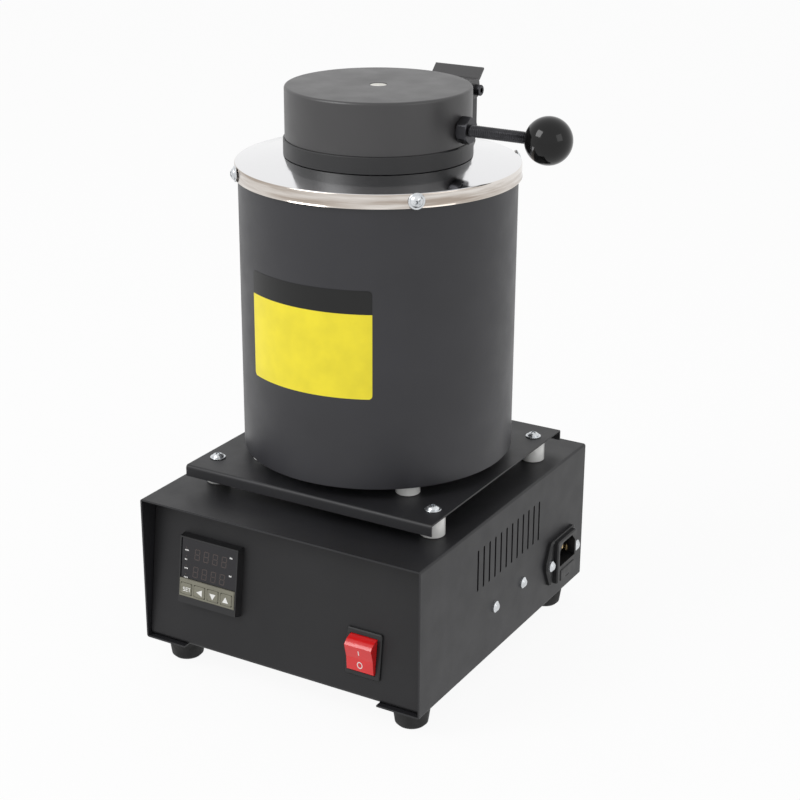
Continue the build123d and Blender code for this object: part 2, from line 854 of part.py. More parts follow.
def mouth_ring():
    outer = cap_hole - spigot_gap - spigot_wall - fit_gap
    high = lid_under - lid_seat_gap
    return turned([
        (chamber_radius + 1.5, high),
        (outer, high),
        (outer, drum_top),
        (chamber_radius, drum_top),
        (chamber_radius, high - 1.5),
    ])


def lid_shell():
    points = [(lid_radius, lid_under), (lid_radius, lid_top), (lid_hole_radius, lid_top)]
    face = folded_sheet(points, lid_sheet, lid_edge_round - lid_sheet)
    return Pos(drum_x, drum_y, 0) * revolve(Plane.XZ * face, Axis.Z)


def lid_insulation():
    outer = lid_radius - lid_sheet - fit_gap
    high = lid_top - lid_sheet
    low = lid_under + lid_seat_gap
    ease = lid_edge_round + 0.5
    return turned([
        (0, low),
        (outer, low),
        (outer, high - ease),
        (outer - ease, high),
        (0, high),
    ])


def handle_nut():
    nut = hex_nut(handle_nut_across, handle_nut_thick, handle_rod_radius + pin_gap)
    dome = Pos(0, 0, handle_nut_thick / 2) * Cylinder(handle_nut_across * 0.56, handle_nut_thick)
    nut &= chamfer(dome.edges().filter_by(GeomType.CIRCLE), 0.9)
    return Pos(drum_x + lid_radius + fit_gap, drum_y, handle_z) * Rot(0, 90, 0) * nut


def handle_rod():
    low = lid_radius + 3 * fit_gap
    high = knob_neck + knob_bore_depth - slide_gap
    solid = rod(handle_rod_radius, low, high)
    return Pos(drum_x, drum_y, handle_z) * Rot(0, 90, 0) * solid


def ball_knob():
    ball = Pos(0, 0, knob_reach) * Sphere(knob_radius)
    ball -= Pos(0, 0, knob_neck - knob_radius) * Box(4 * knob_radius, 4 * knob_radius, 2 * knob_radius)
    ball -= rod(handle_rod_radius + pin_gap, knob_neck - 2, knob_neck + knob_bore_depth)
    return Pos(drum_x, drum_y, handle_z) * Rot(0, 90, 0) * ball


def side_plate(face, thick, low_x):
    # A flat plate drawn in Y and Z about the hinge pin, from low_x outwards.
    return across(Pos(hinge_y, hinge_z) * face, thick, low_x + thick / 2)


def hinge_post():
    # Fixed bracket: two ears that rise from a foot, which lies along the cap's slope.
    reaches = (hinge_reach - post_half_depth, hinge_reach + post_half_depth)
    foot_low = [cap_height(reach) + pin_gap - hinge_z for reach in reaches]
    neck = 0.38 * foot_low[0]
    ear = make_face(Polyline(
        (-post_half_depth, foot_low[0]),
        (post_half_depth, foot_low[1]),
        (post_half_depth, neck),
        (post_top_radius, 0),
        (-post_top_radius, 0),
        (-post_half_depth, neck),
        close=True,
    ))
    ear += Circle(post_top_radius)
    ear -= Circle(hinge_pin_radius + pin_gap)
    foot = make_face(Polyline(
        (-post_half_depth, foot_low[0]),
        (post_half_depth, foot_low[1]),
        (post_half_depth, foot_low[1] + post_sheet),
        (-post_half_depth, foot_low[0] + post_sheet),
        close=True,
    ))
    post = side_plate(foot, 2 * post_half_width, hinge_x - post_half_width)
    post += side_plate(ear, post_sheet, hinge_x - post_half_width)
    post += side_plate(ear, post_sheet, hinge_x + post_half_width - post_sheet)
    for x in hinge_screw_places:
        post -= rod(screw_radius + 2 * slide_gap, drum_top, hinge_z - 12, x, hinge_y)
    return post


def hinge_post_screws():
    tilt = math.degrees(math.atan(cap_slope))
    seat = cap_height(hinge_reach) + fit_gap + post_sheet / math.cos(math.atan(cap_slope))
    length = post_sheet + cap_sheet + 0.6
    return group([Pos(x, hinge_y, seat) * Rot(-tilt, 0, 0) * pan_screw(length) for x in hinge_screw_places])


def lid_hinge_bracket():
    # Moving bracket: a web with a cheek folded down at each side, welded to the lid's
    # back, and a flap folded up that stops against the post when the lid is open.
    turn = math.radians(stop_flap_angle)
    start = -hinge_reach + lid_radius * 0.7
    fold = (web_past_pin, web_above_pin)
    tip = (web_past_pin + stop_flap * math.cos(turn), web_above_pin + stop_flap * math.sin(turn))
    strip = folded_sheet([(start, web_above_pin), fold, tip], -hinge_sheet, hinge_sheet / 2)
    bracket = side_plate(strip, hinge_width, hinge_x - hinge_width / 2)
    eye = post_top_radius + 0.6
    cheek = make_face(Polyline(
        (start, web_above_pin - 0.2),
        (web_past_pin, web_above_pin - 0.2),
        (eye, 0),
        (0, -eye),
        (start, -eye - 4.0),
        close=True,
    ))
    cheek += Circle(eye)
    cheek -= Circle(hinge_pin_radius + pin_gap)
    bracket += side_plate(cheek, hinge_sheet, hinge_x - hinge_width / 2)
    bracket += side_plate(cheek, hinge_sheet, hinge_x + hinge_width / 2 - hinge_sheet)
    bracket -= rod(lid_radius + pin_gap, lid_under - 5, lid_top + 20, drum_x, drum_y)
    return bracket


def hinge_bolt():
    # Socket-head bolt along the hinge's axis, with its head on the +X side.
    reach = hinge_width + fit_gap + nut_thick + 1.0
    head = Pos(0, 0, hinge_head_height / 2) * Cylinder(hinge_head_radius, hinge_head_height)
    head = chamfer(head.faces().sort_by(Axis.Z)[-1].edges(), 0.4)
    socket = RegularPolygon(1.6, 6, major_radius=False)
    head -= extrude(Plane.XY.offset(hinge_head_height) * socket, amount=-2.2)
    bolt = head + Pos(0, 0, -reach / 2) * Cylinder(hinge_pin_radius, reach)
    return Pos(hinge_x + hinge_width / 2 + fit_gap, hinge_y, hinge_z) * Rot(0, 90, 0) * bolt


def hinge_nut():
    nut = hex_nut(nut_across, nut_thick, hinge_pin_radius + pin_gap)
    return Pos(hinge_x - hinge_width / 2 - fit_gap, hinge_y, hinge_z) * Rot(0, -90, 0) * nut


def lead_bores(gap, low, high):
    # Holes for the heater's bare rods and for the probe.
    cuts = [rod(probe_radius + gap, low, high, *around_drum(probe_circle, probe_angle))]
    for angle in lead_angles:
        cuts.append(rod(terminal_rod_radius + gap, low, high, *around_drum(lead_radius, angle)))
    return cuts


def insulation_base():
    board = rod(board_radius, board_under, board_top, drum_x, drum_y)
    for x, y in drum_places:
        board -= rod(head_radius + slide_gap, board_under - 1, board_under + head_height + slide_gap, x, y)
    return board - lead_bores(fit_gap, board_under - 1, board_top + 1)


def insulation_jacket():
    jacket = pipe(jacket_radius, jacket_bore, board_top, drum_top, drum_x, drum_y)
    return jacket - lead_bores(slide_gap, board_top - 1, chamber_top + 1)


def chamber_tube():
    return pipe(chamber_radius + chamber_wall, chamber_radius, board_top, chamber_top, drum_x, drum_y)


def heating_coil():
    # Resistance wire wound round the chamber tube.
    start = board_top + (chamber_top - board_top - coil_turns * coil_pitch) / 2
    path = Helix(coil_pitch, coil_turns * coil_pitch, coil_radius)
    section = Plane(origin=path @ 0, z_dir=path % 0) * Circle(coil_wire_radius)
    coil = sweep(section, path=path, is_frenet=True)
    return Pos(drum_x, drum_y, start) * Rot(0, 0, lead_angles[0]) * coil


def heater_terminals():
    # Two rods that carry the coil's ends down into the base, in ceramic beads.
    low = base_top - lead_drop
    coil_start = board_top + (chamber_top - board_top - coil_turns * coil_pitch) / 2
    ends = [coil_start + 4.0, coil_start + coil_turns * coil_pitch + 4.0]
    rods = []
    for angle, high in zip(lead_angles, ends):
        rods.append(rod(terminal_rod_radius, low, high, *around_drum(lead_radius, angle)))
    return group(rods)


def terminal_beads():
    beads = []
    low = base_top - bead_drop
    for angle in lead_angles:
        x, y = around_drum(lead_radius, angle)
        beads.append(pipe(terminal_bead_radius, terminal_rod_radius + pin_gap, low, board_under, x, y))
    return group(beads)


def hearth_brick():
    return rod(chamber_radius - 2 * slide_gap, board_top, hearth_top, drum_x, drum_y)


def graphite_crucible():
    high = hearth_top + crucible_height
    floor = hearth_top + 1.6 * crucible_wall
    bore_top = crucible_radius - crucible_wall
    bore_foot = crucible_foot_radius - crucible_wall
    pot = turned([
        (0, hearth_top),
        (crucible_foot_radius - 1.5, hearth_top),
        (crucible_foot_radius, hearth_top + 1.5),
        (crucible_radius, high),
        (bore_top, high),
        (bore_foot, floor + 4.0),
        (bore_foot - 4.0, floor),
        (0, floor),
    ])
    place = Pos(drum_x, drum_y - crucible_radius + crucible_wall / 2, high)
    return pot - place * Rot(75, 0, 0) * Cylinder(crucible_wall, 40.0)


def thermocouple():
    x, y = around_drum(probe_circle, probe_angle)
    inside = base_top - cover_sheet
    probe = rod(probe_radius, base_top - probe_drop, board_top + probe_rise, x, y)
    head = rod(2 * probe_radius, inside - probe_drop / 2, inside, x, y)
    return probe + head


parts = {
    "base_cover": base_cover,
    "chassis_tray": chassis_tray,
    "rubber_feet": rubber_feet,
    "foot_screws": foot_screws,
    "foot_nuts": foot_nuts,
    "controller_bezel": controller_bezel,
    "display_window": display_window,
    "keypad_strip": keypad_strip,
    "controller_case": controller_case,
    "controller_clamp": controller_clamp,
    "switch_frame": switch_frame,
    "switch_rocker": switch_rocker,
    "inlet_body": inlet_body,
    "inlet_pins": inlet_pins,
    "inlet_screws": inlet_screws,
    "wall_nuts": wall_nuts,
    "fuse_drawer": fuse_drawer,
    "fuse": fuse,
    "terminal_block": terminal_block,
    "terminal_screws": terminal_screws,
    "solid_state_relay": solid_state_relay,
    "relay_screws": relay_screws,
    "heat_shield_plate": heat_shield_plate,
    "plate_spacers": plate_spacers,
    "plate_washers": plate_washers,
    "plate_screws": plate_screws,
    "plate_nuts": plate_nuts,
    "drum_spacers": drum_spacers,
    "drum_bolts": drum_bolts,
    "drum_nuts": drum_nuts,
    "drum_base_plate": drum_base_plate,
    "drum_shell": drum_shell,
    "insulation_base": insulation_base,
    "insulation_jacket": insulation_jacket,
    "chamber_tube": chamber_tube,
    "heating_coil": heating_coil,
    "heater_terminals": heater_terminals,
    "terminal_beads": terminal_beads,
    "hearth_brick": hearth_brick,
    "graphite_crucible": graphite_crucible,
    "thermocouple": thermocouple,
    "top_cap": top_cap,
    "cap_washers": cap_washers,
    "cap_screws": cap_screws,
    "mouth_collar": mouth_collar,
    "mouth_ring": mouth_ring,
    "hinge_post": hinge_post,
    "hinge_post_screws": hinge_post_screws,
    "hinge_bolt": hinge_bolt,
    "hinge_nut": hinge_nut,
    "lid_shell": lid_shell,
    "lid_insulation": lid_insulation,
    "lid_hinge_bracket": lid_hinge_bracket,
    "handle_nut": handle_nut,
    "handle_rod": handle_rod,
    "ball_knob": ball_knob,
}
key_names = ["key_set", "key_shift", "key_down", "key_up"]

os.makedirs("parts", exist_ok=True)
for name, make in parts.items():
    export_step(make(), f"parts/{name}.step")
for index, name in enumerate(key_names):
    export_step(key(index), f"parts/{name}.step")
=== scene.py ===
import json
import math

import bmesh
import bpy
from mathutils import Matrix, Vector


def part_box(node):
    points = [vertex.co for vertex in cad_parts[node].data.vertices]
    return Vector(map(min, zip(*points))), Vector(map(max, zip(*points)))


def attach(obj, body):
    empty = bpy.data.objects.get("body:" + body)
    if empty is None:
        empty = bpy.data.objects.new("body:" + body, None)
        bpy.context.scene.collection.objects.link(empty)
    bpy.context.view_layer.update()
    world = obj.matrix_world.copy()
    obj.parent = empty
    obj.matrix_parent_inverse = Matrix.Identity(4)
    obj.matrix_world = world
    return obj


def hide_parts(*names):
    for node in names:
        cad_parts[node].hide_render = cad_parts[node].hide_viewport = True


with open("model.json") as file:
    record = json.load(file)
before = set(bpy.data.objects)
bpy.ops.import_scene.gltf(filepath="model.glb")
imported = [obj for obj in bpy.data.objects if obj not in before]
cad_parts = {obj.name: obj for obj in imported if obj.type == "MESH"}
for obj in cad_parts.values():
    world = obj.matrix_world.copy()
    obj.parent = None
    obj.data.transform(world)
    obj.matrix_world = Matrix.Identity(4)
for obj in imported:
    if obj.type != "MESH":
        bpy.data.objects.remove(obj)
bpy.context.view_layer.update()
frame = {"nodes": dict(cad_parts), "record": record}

nodes = frame["nodes"]
mm = 0.001
print("frame loaded:", len(nodes), "nodes")

# small helpers

def middle(node):
    low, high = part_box(node)
    return (low + high) / 2


def put(tree, kind, inputs=None, **settings):
    # adds a node; inputs are sockets to link or values to set
    node = tree.nodes.new(kind)
    for key, value in settings.items():
        setattr(node, key, value)
    for socket, value in (inputs or {}).items():
        if isinstance(value, bpy.types.NodeSocket):
            tree.links.new(value, node.inputs[socket])
        else:
            node.inputs[socket].default_value = value
    return node


def sums(tree, operation, *values):
    return put(tree, "ShaderNodeMath", dict(enumerate(values)), operation=operation).outputs[0]


def addObject(name, mesh):
    thing = bpy.data.objects.new(name, mesh)
    bpy.context.scene.collection.objects.link(thing)
    return thing


def smoothShade(mesh, angle=32):
    mesh.shade_smooth()
    mesh.set_sharp_from_angle(angle=math.radians(angle))


def closeUp(mesh, gap=1e-7):
    # merges doubles and turns every face outwards
    work = bmesh.new()
    work.from_mesh(mesh)
    bmesh.ops.remove_doubles(work, verts=work.verts, dist=gap)
    bmesh.ops.dissolve_degenerate(work, edges=work.edges, dist=gap)
    bmesh.ops.recalc_face_normals(work, faces=work.faces)
    work.to_mesh(mesh)
    work.free()


def roundedOutline(corners, steps=5):
    # corners are (x, y, softness); each soft corner becomes an arc
    points = []
    for index, (x, y, soft) in enumerate(corners):
        here = Vector((x, y))
        if not soft:
            points.append(here)
            continue
        before = (Vector(corners[index - 1][:2]) - here).normalized()
        after = (Vector(corners[(index + 1) % len(corners)][:2]) - here).normalized()
        half = before.angle(after) / 2
        centre = here + (before + after).normalized() * soft / math.sin(half)
        start = here + before * soft / math.tan(half) - centre
        end = here + after * soft / math.tan(half) - centre
        sweep = start.angle_signed(end)
        for step in range(steps + 1):
            turn = -sweep * step / steps
            points.append(centre + Matrix.Rotation(turn, 2) @ start)
    return points


def turnedMesh(name, outline, steps, place):
    # a closed outline of (radius, height) in metres, turned about place's Z axis
    mesh = bpy.data.meshes.new(name)
    points = []
    faces = []
    count = len(outline)
    for step in range(steps):
        turn = 2 * math.pi * step / steps
        for radius, height in outline:
            points.append(place @ Vector((radius * math.cos(turn), radius * math.sin(turn), height)))
    for step in range(steps):
        near, far = step * count, (step + 1) % steps * count
        for index in range(count):
            other = (index + 1) % count
            faces.append((near + index, far + index, far + other, near + other))
    mesh.from_pydata(points, [], faces)
    closeUp(mesh)
    smoothShade(mesh)
    return mesh


def inMillimetres(corners):
    return [(x * mm, y * mm, soft * mm) for x, y, soft in corners]


def finishPiece(piece, body, slot, *replaced):
    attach(piece, body)
    if replaced:
        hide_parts(*replaced)
    return piece


# camera

photoView = {
    "turn": 30.033,
    "lift": 20.994,
    "roll": 0.319,
    "distance": 1.171159,
    "target": (0.022084, 0.0, 0.17369),
    "lens": 79.866,
}


def placeCamera():
    turn, lift, roll = (math.radians(photoView[key]) for key in ("turn", "lift", "roll"))
    back = Vector((math.sin(turn) * math.cos(lift), -math.cos(turn) * math.cos(lift), math.sin(lift)))
    right = Vector((math.cos(turn), math.sin(turn), 0))
    up = back.cross(right)
    tiltedRight = right * math.cos(roll) + up * math.sin(roll)
    tiltedUp = up * math.cos(roll) - right * math.sin(roll)
    data = bpy.data.cameras.new("photoCamera")
    data.lens = photoView["lens"]
    data.sensor_width = 36
    data.clip_end = 50
    camera = addObject("photoCamera", data)
    turned = Matrix((tiltedRight, tiltedUp, back)).transposed().to_4x4()
    camera.matrix_world = Matrix.Translation(
        Vector(photoView["target"]) + back * photoView["distance"]
    ) @ turned
    bpy.context.scene.camera = camera


placeCamera()
print("camera placed")

# studio: pale floor, white surroundings, soft lamps

studio = {
    "floorSize": 40.0,
    "floorColour": (0.86, 0.86, 0.86, 1),
    "floorGlow": 0.93,
    "skyForLight": 0.62,
    "lamps": [
        # name, place, aimed at, size, strength in watts
        ("keyLamp", (-0.9, -1.5, 1.7), (0, 0, 0.2), 1.1, 22.0),
        ("rightLamp", (2.0, -0.3, 1.1), (0, 0, 0.2), 1.0, 4.0),
    ],
}


def whiteToTheEye(tree):
    # 1 where a camera, glossy or clear ray arrives
    path = put(tree, "ShaderNodeLightPath")
    seen = sums(tree, "MAXIMUM", path.outputs["Is Camera Ray"], path.outputs["Is Glossy Ray"])
    return sums(tree, "MAXIMUM", seen, path.outputs["Is Transmission Ray"])


def makeStudio():
    world = bpy.data.worlds.new("studioAir")
    bpy.context.scene.world = world
    world.use_nodes = True
    tree = world.node_tree
    tree.nodes.clear()
    dim = put(tree, "ShaderNodeBackground", {"Color": (1, 1, 1, 1), "Strength": studio["skyForLight"]})
    bright = put(tree, "ShaderNodeBackground", {"Color": (1, 1, 1, 1), "Strength": 1.0})
    mix = put(
        tree, "ShaderNodeMixShader", {0: whiteToTheEye(tree), 1: dim.outputs[0], 2: bright.outputs[0]}
    )
    put(tree, "ShaderNodeOutputWorld", {"Surface": mix.outputs[0]})

    size = studio["floorSize"] / 2
    mesh = bpy.data.meshes.new("studioFloor")
    mesh.from_pydata(
        [(-size, -size, 0), (size, -size, 0), (size, size, 0), (-size, size, 0)], [], [(0, 1, 2, 3)]
    )
    floor = addObject("studioFloor", mesh)
    material = bpy.data.materials.new("studioFloor")
    material.use_nodes = True
    tree = material.node_tree
    tree.nodes.clear()
    matte = put(tree, "ShaderNodeBsdfDiffuse", {"Color": studio["floorColour"]})
    glow = put(tree, "ShaderNodeEmission", {"Color": (1, 1, 1, 1), "Strength": 1.0})
    share = sums(tree, "MULTIPLY", whiteToTheEye(tree), studio["floorGlow"])
    mix = put(tree, "ShaderNodeMixShader", {0: share, 1: matte.outputs[0], 2: glow.outputs[0]})
    put(tree, "ShaderNodeOutputMaterial", {"Surface": mix.outputs[0]})
    mesh.materials.append(material)

    for name, place, aim, width, strength in studio["lamps"]:
        data = bpy.data.lights.new(name, "AREA")
        data.size = width
        data.energy = strength
        lamp = addObject(name, data)
        away = Vector(place) - Vector(aim)
        lamp.matrix_world = Matrix.Translation(
            Vector(place)
        ) @ away.to_track_quat("Z", "Y").to_matrix().to_4x4()
    bpy.context.scene.view_settings.view_transform = "Standard"


makeStudio()
print("studio lit")

# finishes

def newFinish(name, sockets):
    material = bpy.data.materials.new(name)
    material.use_nodes = True
    tree = material.node_tree
    shader = next(node for node in tree.nodes if node.type == "BSDF_PRINCIPLED")
    for socket, value in sockets.items():
        shader.inputs[socket].default_value = value
    place = put(tree, "ShaderNodeTexCoord").outputs["Object"]
    return material, tree, shader, place


def noise(tree, place, scale, detail=2.0, stretch=None):
    if stretch:
        place = put(tree, "ShaderNodeMapping", {"Vector": place, "Scale": stretch}).outputs[0]
    return put(
        tree, "ShaderNodeTexNoise", {"Vector": place, "Scale": scale, "Detail": detail}
    ).outputs["Fac"]


def spread(tree, value, low, high, start=0.3, end=0.7):
    sockets = {"Value": value, "From Min": start, "From Max": end, "To Min": low, "To Max": high}
    return put(tree, "ShaderNodeMapRange", sockets).outputs["Result"]


def shades(tree, value, dark, light, start=0.35, end=0.65):
    ramp = put(tree, "ShaderNodeValToRGB", {"Fac": value})
    ramp.color_ramp.elements[0].position = start
    ramp.color_ramp.elements[1].position = end
    ramp.color_ramp.elements[0].color = (*dark, 1)
    ramp.color_ramp.elements[1].color = (*light, 1)
    return ramp.outputs["Color"]


def bump(tree, shader, height, depth, strength=1.0):
    node = put(tree, "ShaderNodeBump", {"Height": height, "Distance": depth, "Strength": strength})
    tree.links.new(node.outputs[0], shader.inputs["Normal"])


def scaledColour(colour, factor):
    return tuple(channel * factor for channel in colour)


paints = {
    # colour, roughness, specular, size of the orange peel per metre, its depth in metres
    "cover_paint": {
        "colour": (0.0130, 0.0130, 0.0150), "rough": 0.46, "specular": 0.42, "peel": 900, "depth": 0.00004
    },
    # panel colour is a darker copy of the cover paint: the difference is painted shade for the leaning
    # front panel
    "panel_paint": {
        "colour": (0.0110, 0.0108, 0.0120), "rough": 0.50, "specular": 0.36, "peel": 900, "depth": 0.00004
    },
    "drum_paint": {
        "colour": (0.0175, 0.0175, 0.0215), "rough": 0.44, "specular": 0.54, "peel": 700, "depth": 0.00005
    },
    # lid colour is lighter than the drum and cover paints: the extra lightness is painted sheen standing
    # in for the lid top's bright gloss
    "lid_paint": {
        "colour": (0.0260, 0.0250, 0.0262), "rough": 0.40, "specular": 0.74, "peel": 1100,
        "depth": 0.00003
    },
    "bracket_paint": {
        "colour": (0.0150, 0.0150, 0.0160), "rough": 0.42, "specular": 0.46, "peel": 1100,
        "depth": 0.00003
    },
}


def paintFinish(name, settings):
    sockets = {"Specular IOR Level": settings["specular"], "Roughness": settings["rough"]}
    material, tree, shader, place = newFinish(name, sockets)
    colour = settings["colour"]
    drift = noise(tree, place, 14, 3)
    tree.links.new(
        shades(tree, drift, scaledColour(colour, 0.88), scaledColour(colour, 1.14)),
        shader.inputs["Base Color"]
    )
    patches = noise(tree, place, 60, 4)
    tree.links.new(
        spread(tree, patches, settings["rough"] - 0.03, settings["rough"] + 0.04),
        shader.inputs["Roughness"]
    )
    bump(tree, shader, noise(tree, place, settings["peel"], 3), settings["depth"], 0.6)
    return material


metals = {
    "bare_steel": {
        "colour": (0.52, 0.52, 0.53), "rough": 0.38, "grain": 500, "stretch": (1, 1, 1), "depth": 0.00004
    },
    "zinc_steel": {
        "colour": (0.66, 0.68, 0.70), "rough": 0.26, "grain": 900, "stretch": (1, 1, 1), "depth": 0.00004
    },
    "dark_steel": {
        "colour": (0.060, 0.060, 0.065), "rough": 0.36, "grain": 1200, "stretch": (1, 1, 1),
        "depth": 0.00003
    },
    "heating_wire": {
        "colour": (0.26, 0.24, 0.22), "rough": 0.55, "grain": 1500, "stretch": (1, 1, 1), "depth": 0.00005
    },
    "brass": {
        "colour": (0.70, 0.52, 0.24), "rough": 0.30, "grain": 900, "stretch": (0.1, 1, 1),
        "depth": 0.00002
    },
}


def metalFinish(name, settings):
    material, tree, shader, place = newFinish(name, {"Metallic": 1.0, "Roughness": settings["rough"]})
    colour = settings["colour"]
    cloud = noise(tree, place, 220, 4, settings["stretch"])
    tree.links.new(
        shades(tree, cloud, scaledColour(colour, 0.86), scaledColour(colour, 1.08)),
        shader.inputs["Base Color"]
    )
    fine = noise(tree, place, settings["grain"], 3, settings["stretch"])
    tree.links.new(
        spread(tree, fine, settings["rough"] * 0.8, settings["rough"] * 1.25), shader.inputs["Roughness"]
    )
    bump(tree, shader, fine, settings["depth"], 0.4)
    return material


drumAxis = middle("mouth_ring")


def roundTheDrum(tree, place):
    # sideways offsets from the drum's axis, distance from it and height, for turned and rolled metal
    away = put(
        tree, "ShaderNodeVectorMath", {0: place, 1: (drumAxis.x, drumAxis.y, 0)}, operation="SUBTRACT"
    ).outputs[0]
    parts = put(tree, "ShaderNodeSeparateXYZ", {0: away})
    x, y, height = parts.outputs[0], parts.outputs[1], parts.outputs[2]
    radius = sums(
        tree, "SQRT", sums(tree, "ADD", sums(tree, "MULTIPLY", x, x), sums(tree, "MULTIPLY", y, y))
    )
    return x, y, radius, height


# the skirt's two colours and its streak stretch are a painted reflection of the surroundings on the cap's
# upright skirt
polished = {
    "colour": (0.80, 0.80, 0.81), "rough": 0.10, "lines": 1400, "depth": 0.000006,
    "skirtFrom": 0.0908, "skirtReflectionDark": (
        0.40, 0.34, 0.29
    ), "skirtReflectionLight": (0.74, 0.70, 0.66), "reflectionStreaks": (16, 16, 240),
}


def polishedFinish(name, settings):
    # stainless steel spun on a lathe: close rings that follow the edge, with a soft mirror under them
    material, tree, shader, place = newFinish(
        name, {"Metallic": 1.0, "Roughness": settings["rough"], "Base Color": (*settings["colour"], 1)}
    )
    x, y, radius, height = roundTheDrum(tree, place)
    around = put(
        tree, "ShaderNodeCombineXYZ",
        {
            0: radius, 1: sums(tree, "MULTIPLY", x, 0.01),
            2: sums(tree, "ADD", height, sums(tree, "MULTIPLY", y, 0.01))
        }
    )
    rings = noise(tree, around.outputs[0], settings["lines"], 2)
    smear = noise(tree, place, 30, 3)
    # painted reflection: the upright skirt's base colour carries warm, darker level streaks that stand in
    # for the reflected surroundings
    paintedReflection = shades(
        tree, noise(tree, place, 1.0, 4, settings["reflectionStreaks"]), settings["skirtReflectionDark"],
        settings["skirtReflectionLight"], 0.36, 0.62
    )
    share = spread(tree, radius, 0.0, 1.0, settings["skirtFrom"], settings["skirtFrom"] + 0.0003)
    colourWithReflection = put(tree, "ShaderNodeMix", {0: share, 6: (*settings["colour"], 1), 7: paintedReflection}, data_type="RGBA")
    tree.links.new(colourWithReflection.outputs[2], shader.inputs["Base Color"])
    wear = sums(
        tree, "ADD", spread(tree, rings, -0.025, 0.03),
        spread(tree, smear, settings["rough"] - 0.03, settings["rough"] + 0.05)
    )
    tree.links.new(wear, shader.inputs["Roughness"])
    bump(tree, shader, rings, settings["depth"], 0.35)
    return material


plastics = {
    "foot_rubber": {
        "colour": (0.012, 0.012, 0.012), "rough": 0.62, "specular": 0.35, "coat": 0, "grain": 600,
        "depth": 0.00008
    },
    "knob_plastic": {
        "colour": (0.003, 0.003, 0.003), "rough": 0.10, "specular": 0.34, "coat": 0, "grain": 90,
        "depth": 0.00001
    },
    "controller_plastic": {
        "colour": (0.011, 0.011, 0.012), "rough": 0.42, "specular": 0.45, "coat": 0, "grain": 2600,
        "depth": 0.00004
    },
    "window_plastic": {
        "colour": (0.006, 0.005, 0.008), "rough": 0.12, "specular": 0.4, "coat": 0.1, "grain": 60,
        "depth": 0.00001
    },
    "keypad_plastic": {
        "colour": (0.205, 0.198, 0.155), "rough": 0.48, "specular": 0.35, "coat": 0, "grain": 3000,
        "depth": 0.00003
    },
    "rocker_red": {
        "colour": (0.72, 0.012, 0.014), "rough": 0.22, "specular": 0.5, "coat": 0.2, "grain": 200,
        "depth": 0.00001
    },
    "switch_plastic": {
        "colour": (0.012, 0.012, 0.013), "rough": 0.34, "specular": 0.42, "coat": 0, "grain": 800,
        "depth": 0.00002
    },
    "inlet_plastic": {
        "colour": (0.011, 0.011, 0.012), "rough": 0.42, "specular": 0.42, "coat": 0, "grain": 1800,
        "depth": 0.00004
    },
    "relay_plastic": {
        "colour": (0.70, 0.69, 0.65), "rough": 0.5, "specular": 0.4, "coat": 0, "grain": 1500,
        "depth": 0.00004
    },
    "white_ceramic": {
        "colour": (0.86, 0.86, 0.84), "rough": 0.14, "specular": 0.5, "coat": 0.5, "grain": 120,
        "depth": 0.00003
    },
}


def mouldedFinish(name, settings):
    sockets = {
        "Specular IOR Level": settings["specular"], "Roughness": settings["rough"],
        "Coat Weight": settings["coat"], "Coat Roughness": 0.05
    }
    material, tree, shader, place = newFinish(name, sockets)
    colour = settings["colour"]
    tree.links.new(
        shades(tree, noise(tree, place, 45, 3), scaledColour(colour, 0.92), scaledColour(colour, 1.07)),
        shader.inputs["Base Color"]
    )
    tree.links.new(
        spread(tree, noise(tree, place, 140, 4), settings["rough"] * 0.85, settings["rough"] * 1.2),
        shader.inputs["Roughness"]
    )
    bump(tree, shader, noise(tree, place, settings["grain"], 3), settings["depth"], 0.6)
    return material


refractories = {
    "chamber_ceramic": {
        "dark": (0.46, 0.38, 0.27), "light": (0.66, 0.58, 0.46), "rough": 0.85, "grain": 900,
        "depth": 0.0003
    },
    "ceramic_fibre": {
        "dark": (0.70, 0.68, 0.62), "light": (0.88, 0.87, 0.83), "rough": 0.95, "grain": 700,
        "depth": 0.0006
    },
    "graphite": {
        "dark": (0.022, 0.022, 0.024), "light": (0.045, 0.045, 0.048), "rough": 0.55, "grain": 1400,
        "depth": 0.00012
    },
}


def refractoryFinish(name, settings):
    material, tree, shader, place = newFinish(
        name, {"Specular IOR Level": 0.2, "Roughness": settings["rough"]}
    )
    cloud = noise(tree, place, 70, 6)
    speck = noise(tree, place, settings["grain"], 5)
    blended = sums(tree, "ADD", sums(tree, "MULTIPLY", cloud, 0.6), sums(tree, "MULTIPLY", speck, 0.4))
    tree.links.new(
        shades(tree, blended, settings["dark"], settings["light"], 0.38, 0.62),
        shader.inputs["Base Color"]
    )
    bump(tree, shader, speck, settings["depth"], 0.8)
    return material


def glassFinish(name):
    material, tree, shader, place = newFinish(
        name, {"Base Color": (0.86, 0.90, 0.90, 1), "Roughness": 0.03, "Transmission Weight": 0.9}
    )
    bump(tree, shader, noise(tree, place, 150, 2), 0.00001, 0.3)
    return material


finishes = {name: paintFinish(name, settings) for name, settings in paints.items()}
finishes.update({name: metalFinish(name, settings) for name, settings in metals.items()})
finishes.update({name: mouldedFinish(name, settings) for name, settings in plastics.items()})
finishes.update({name: refractoryFinish(name, settings) for name, settings in refractories.items()})
finishes["polished_steel"] = polishedFinish("polished_steel", polished)
finishes["fuse_glass"] = glassFinish("fuse_glass")

for row in frame["record"]["subparts"]:
    mesh = nodes[row["node"]].data
    mesh.materials.clear()
    mesh.materials.append(finishes[row["material_slot"]])
print("finishes made:", len(finishes))

# drum, cap, lid and vent plug, turned about the drum's axis

drumPlace = Matrix.Translation((drumAxis.x, drumAxis.y, 0))


def turnedPiece(name, corners, finish, steps=256, arcSteps=5):
    outline = roundedOutline(inMillimetres(corners), arcSteps)
    mesh = turnedMesh(name, outline, steps, drumPlace)
    mesh.materials.append(finishes[finish])
    return addObject(name, mesh)


capShape = {
    "radius": 91.3, "flare": 0.4, "skirt": 8.7, "lip": 0.8, "sheet": 0.8, "crease": 0.9, "hole": 52.3,
    "slope": 4.0 / 31.0
}


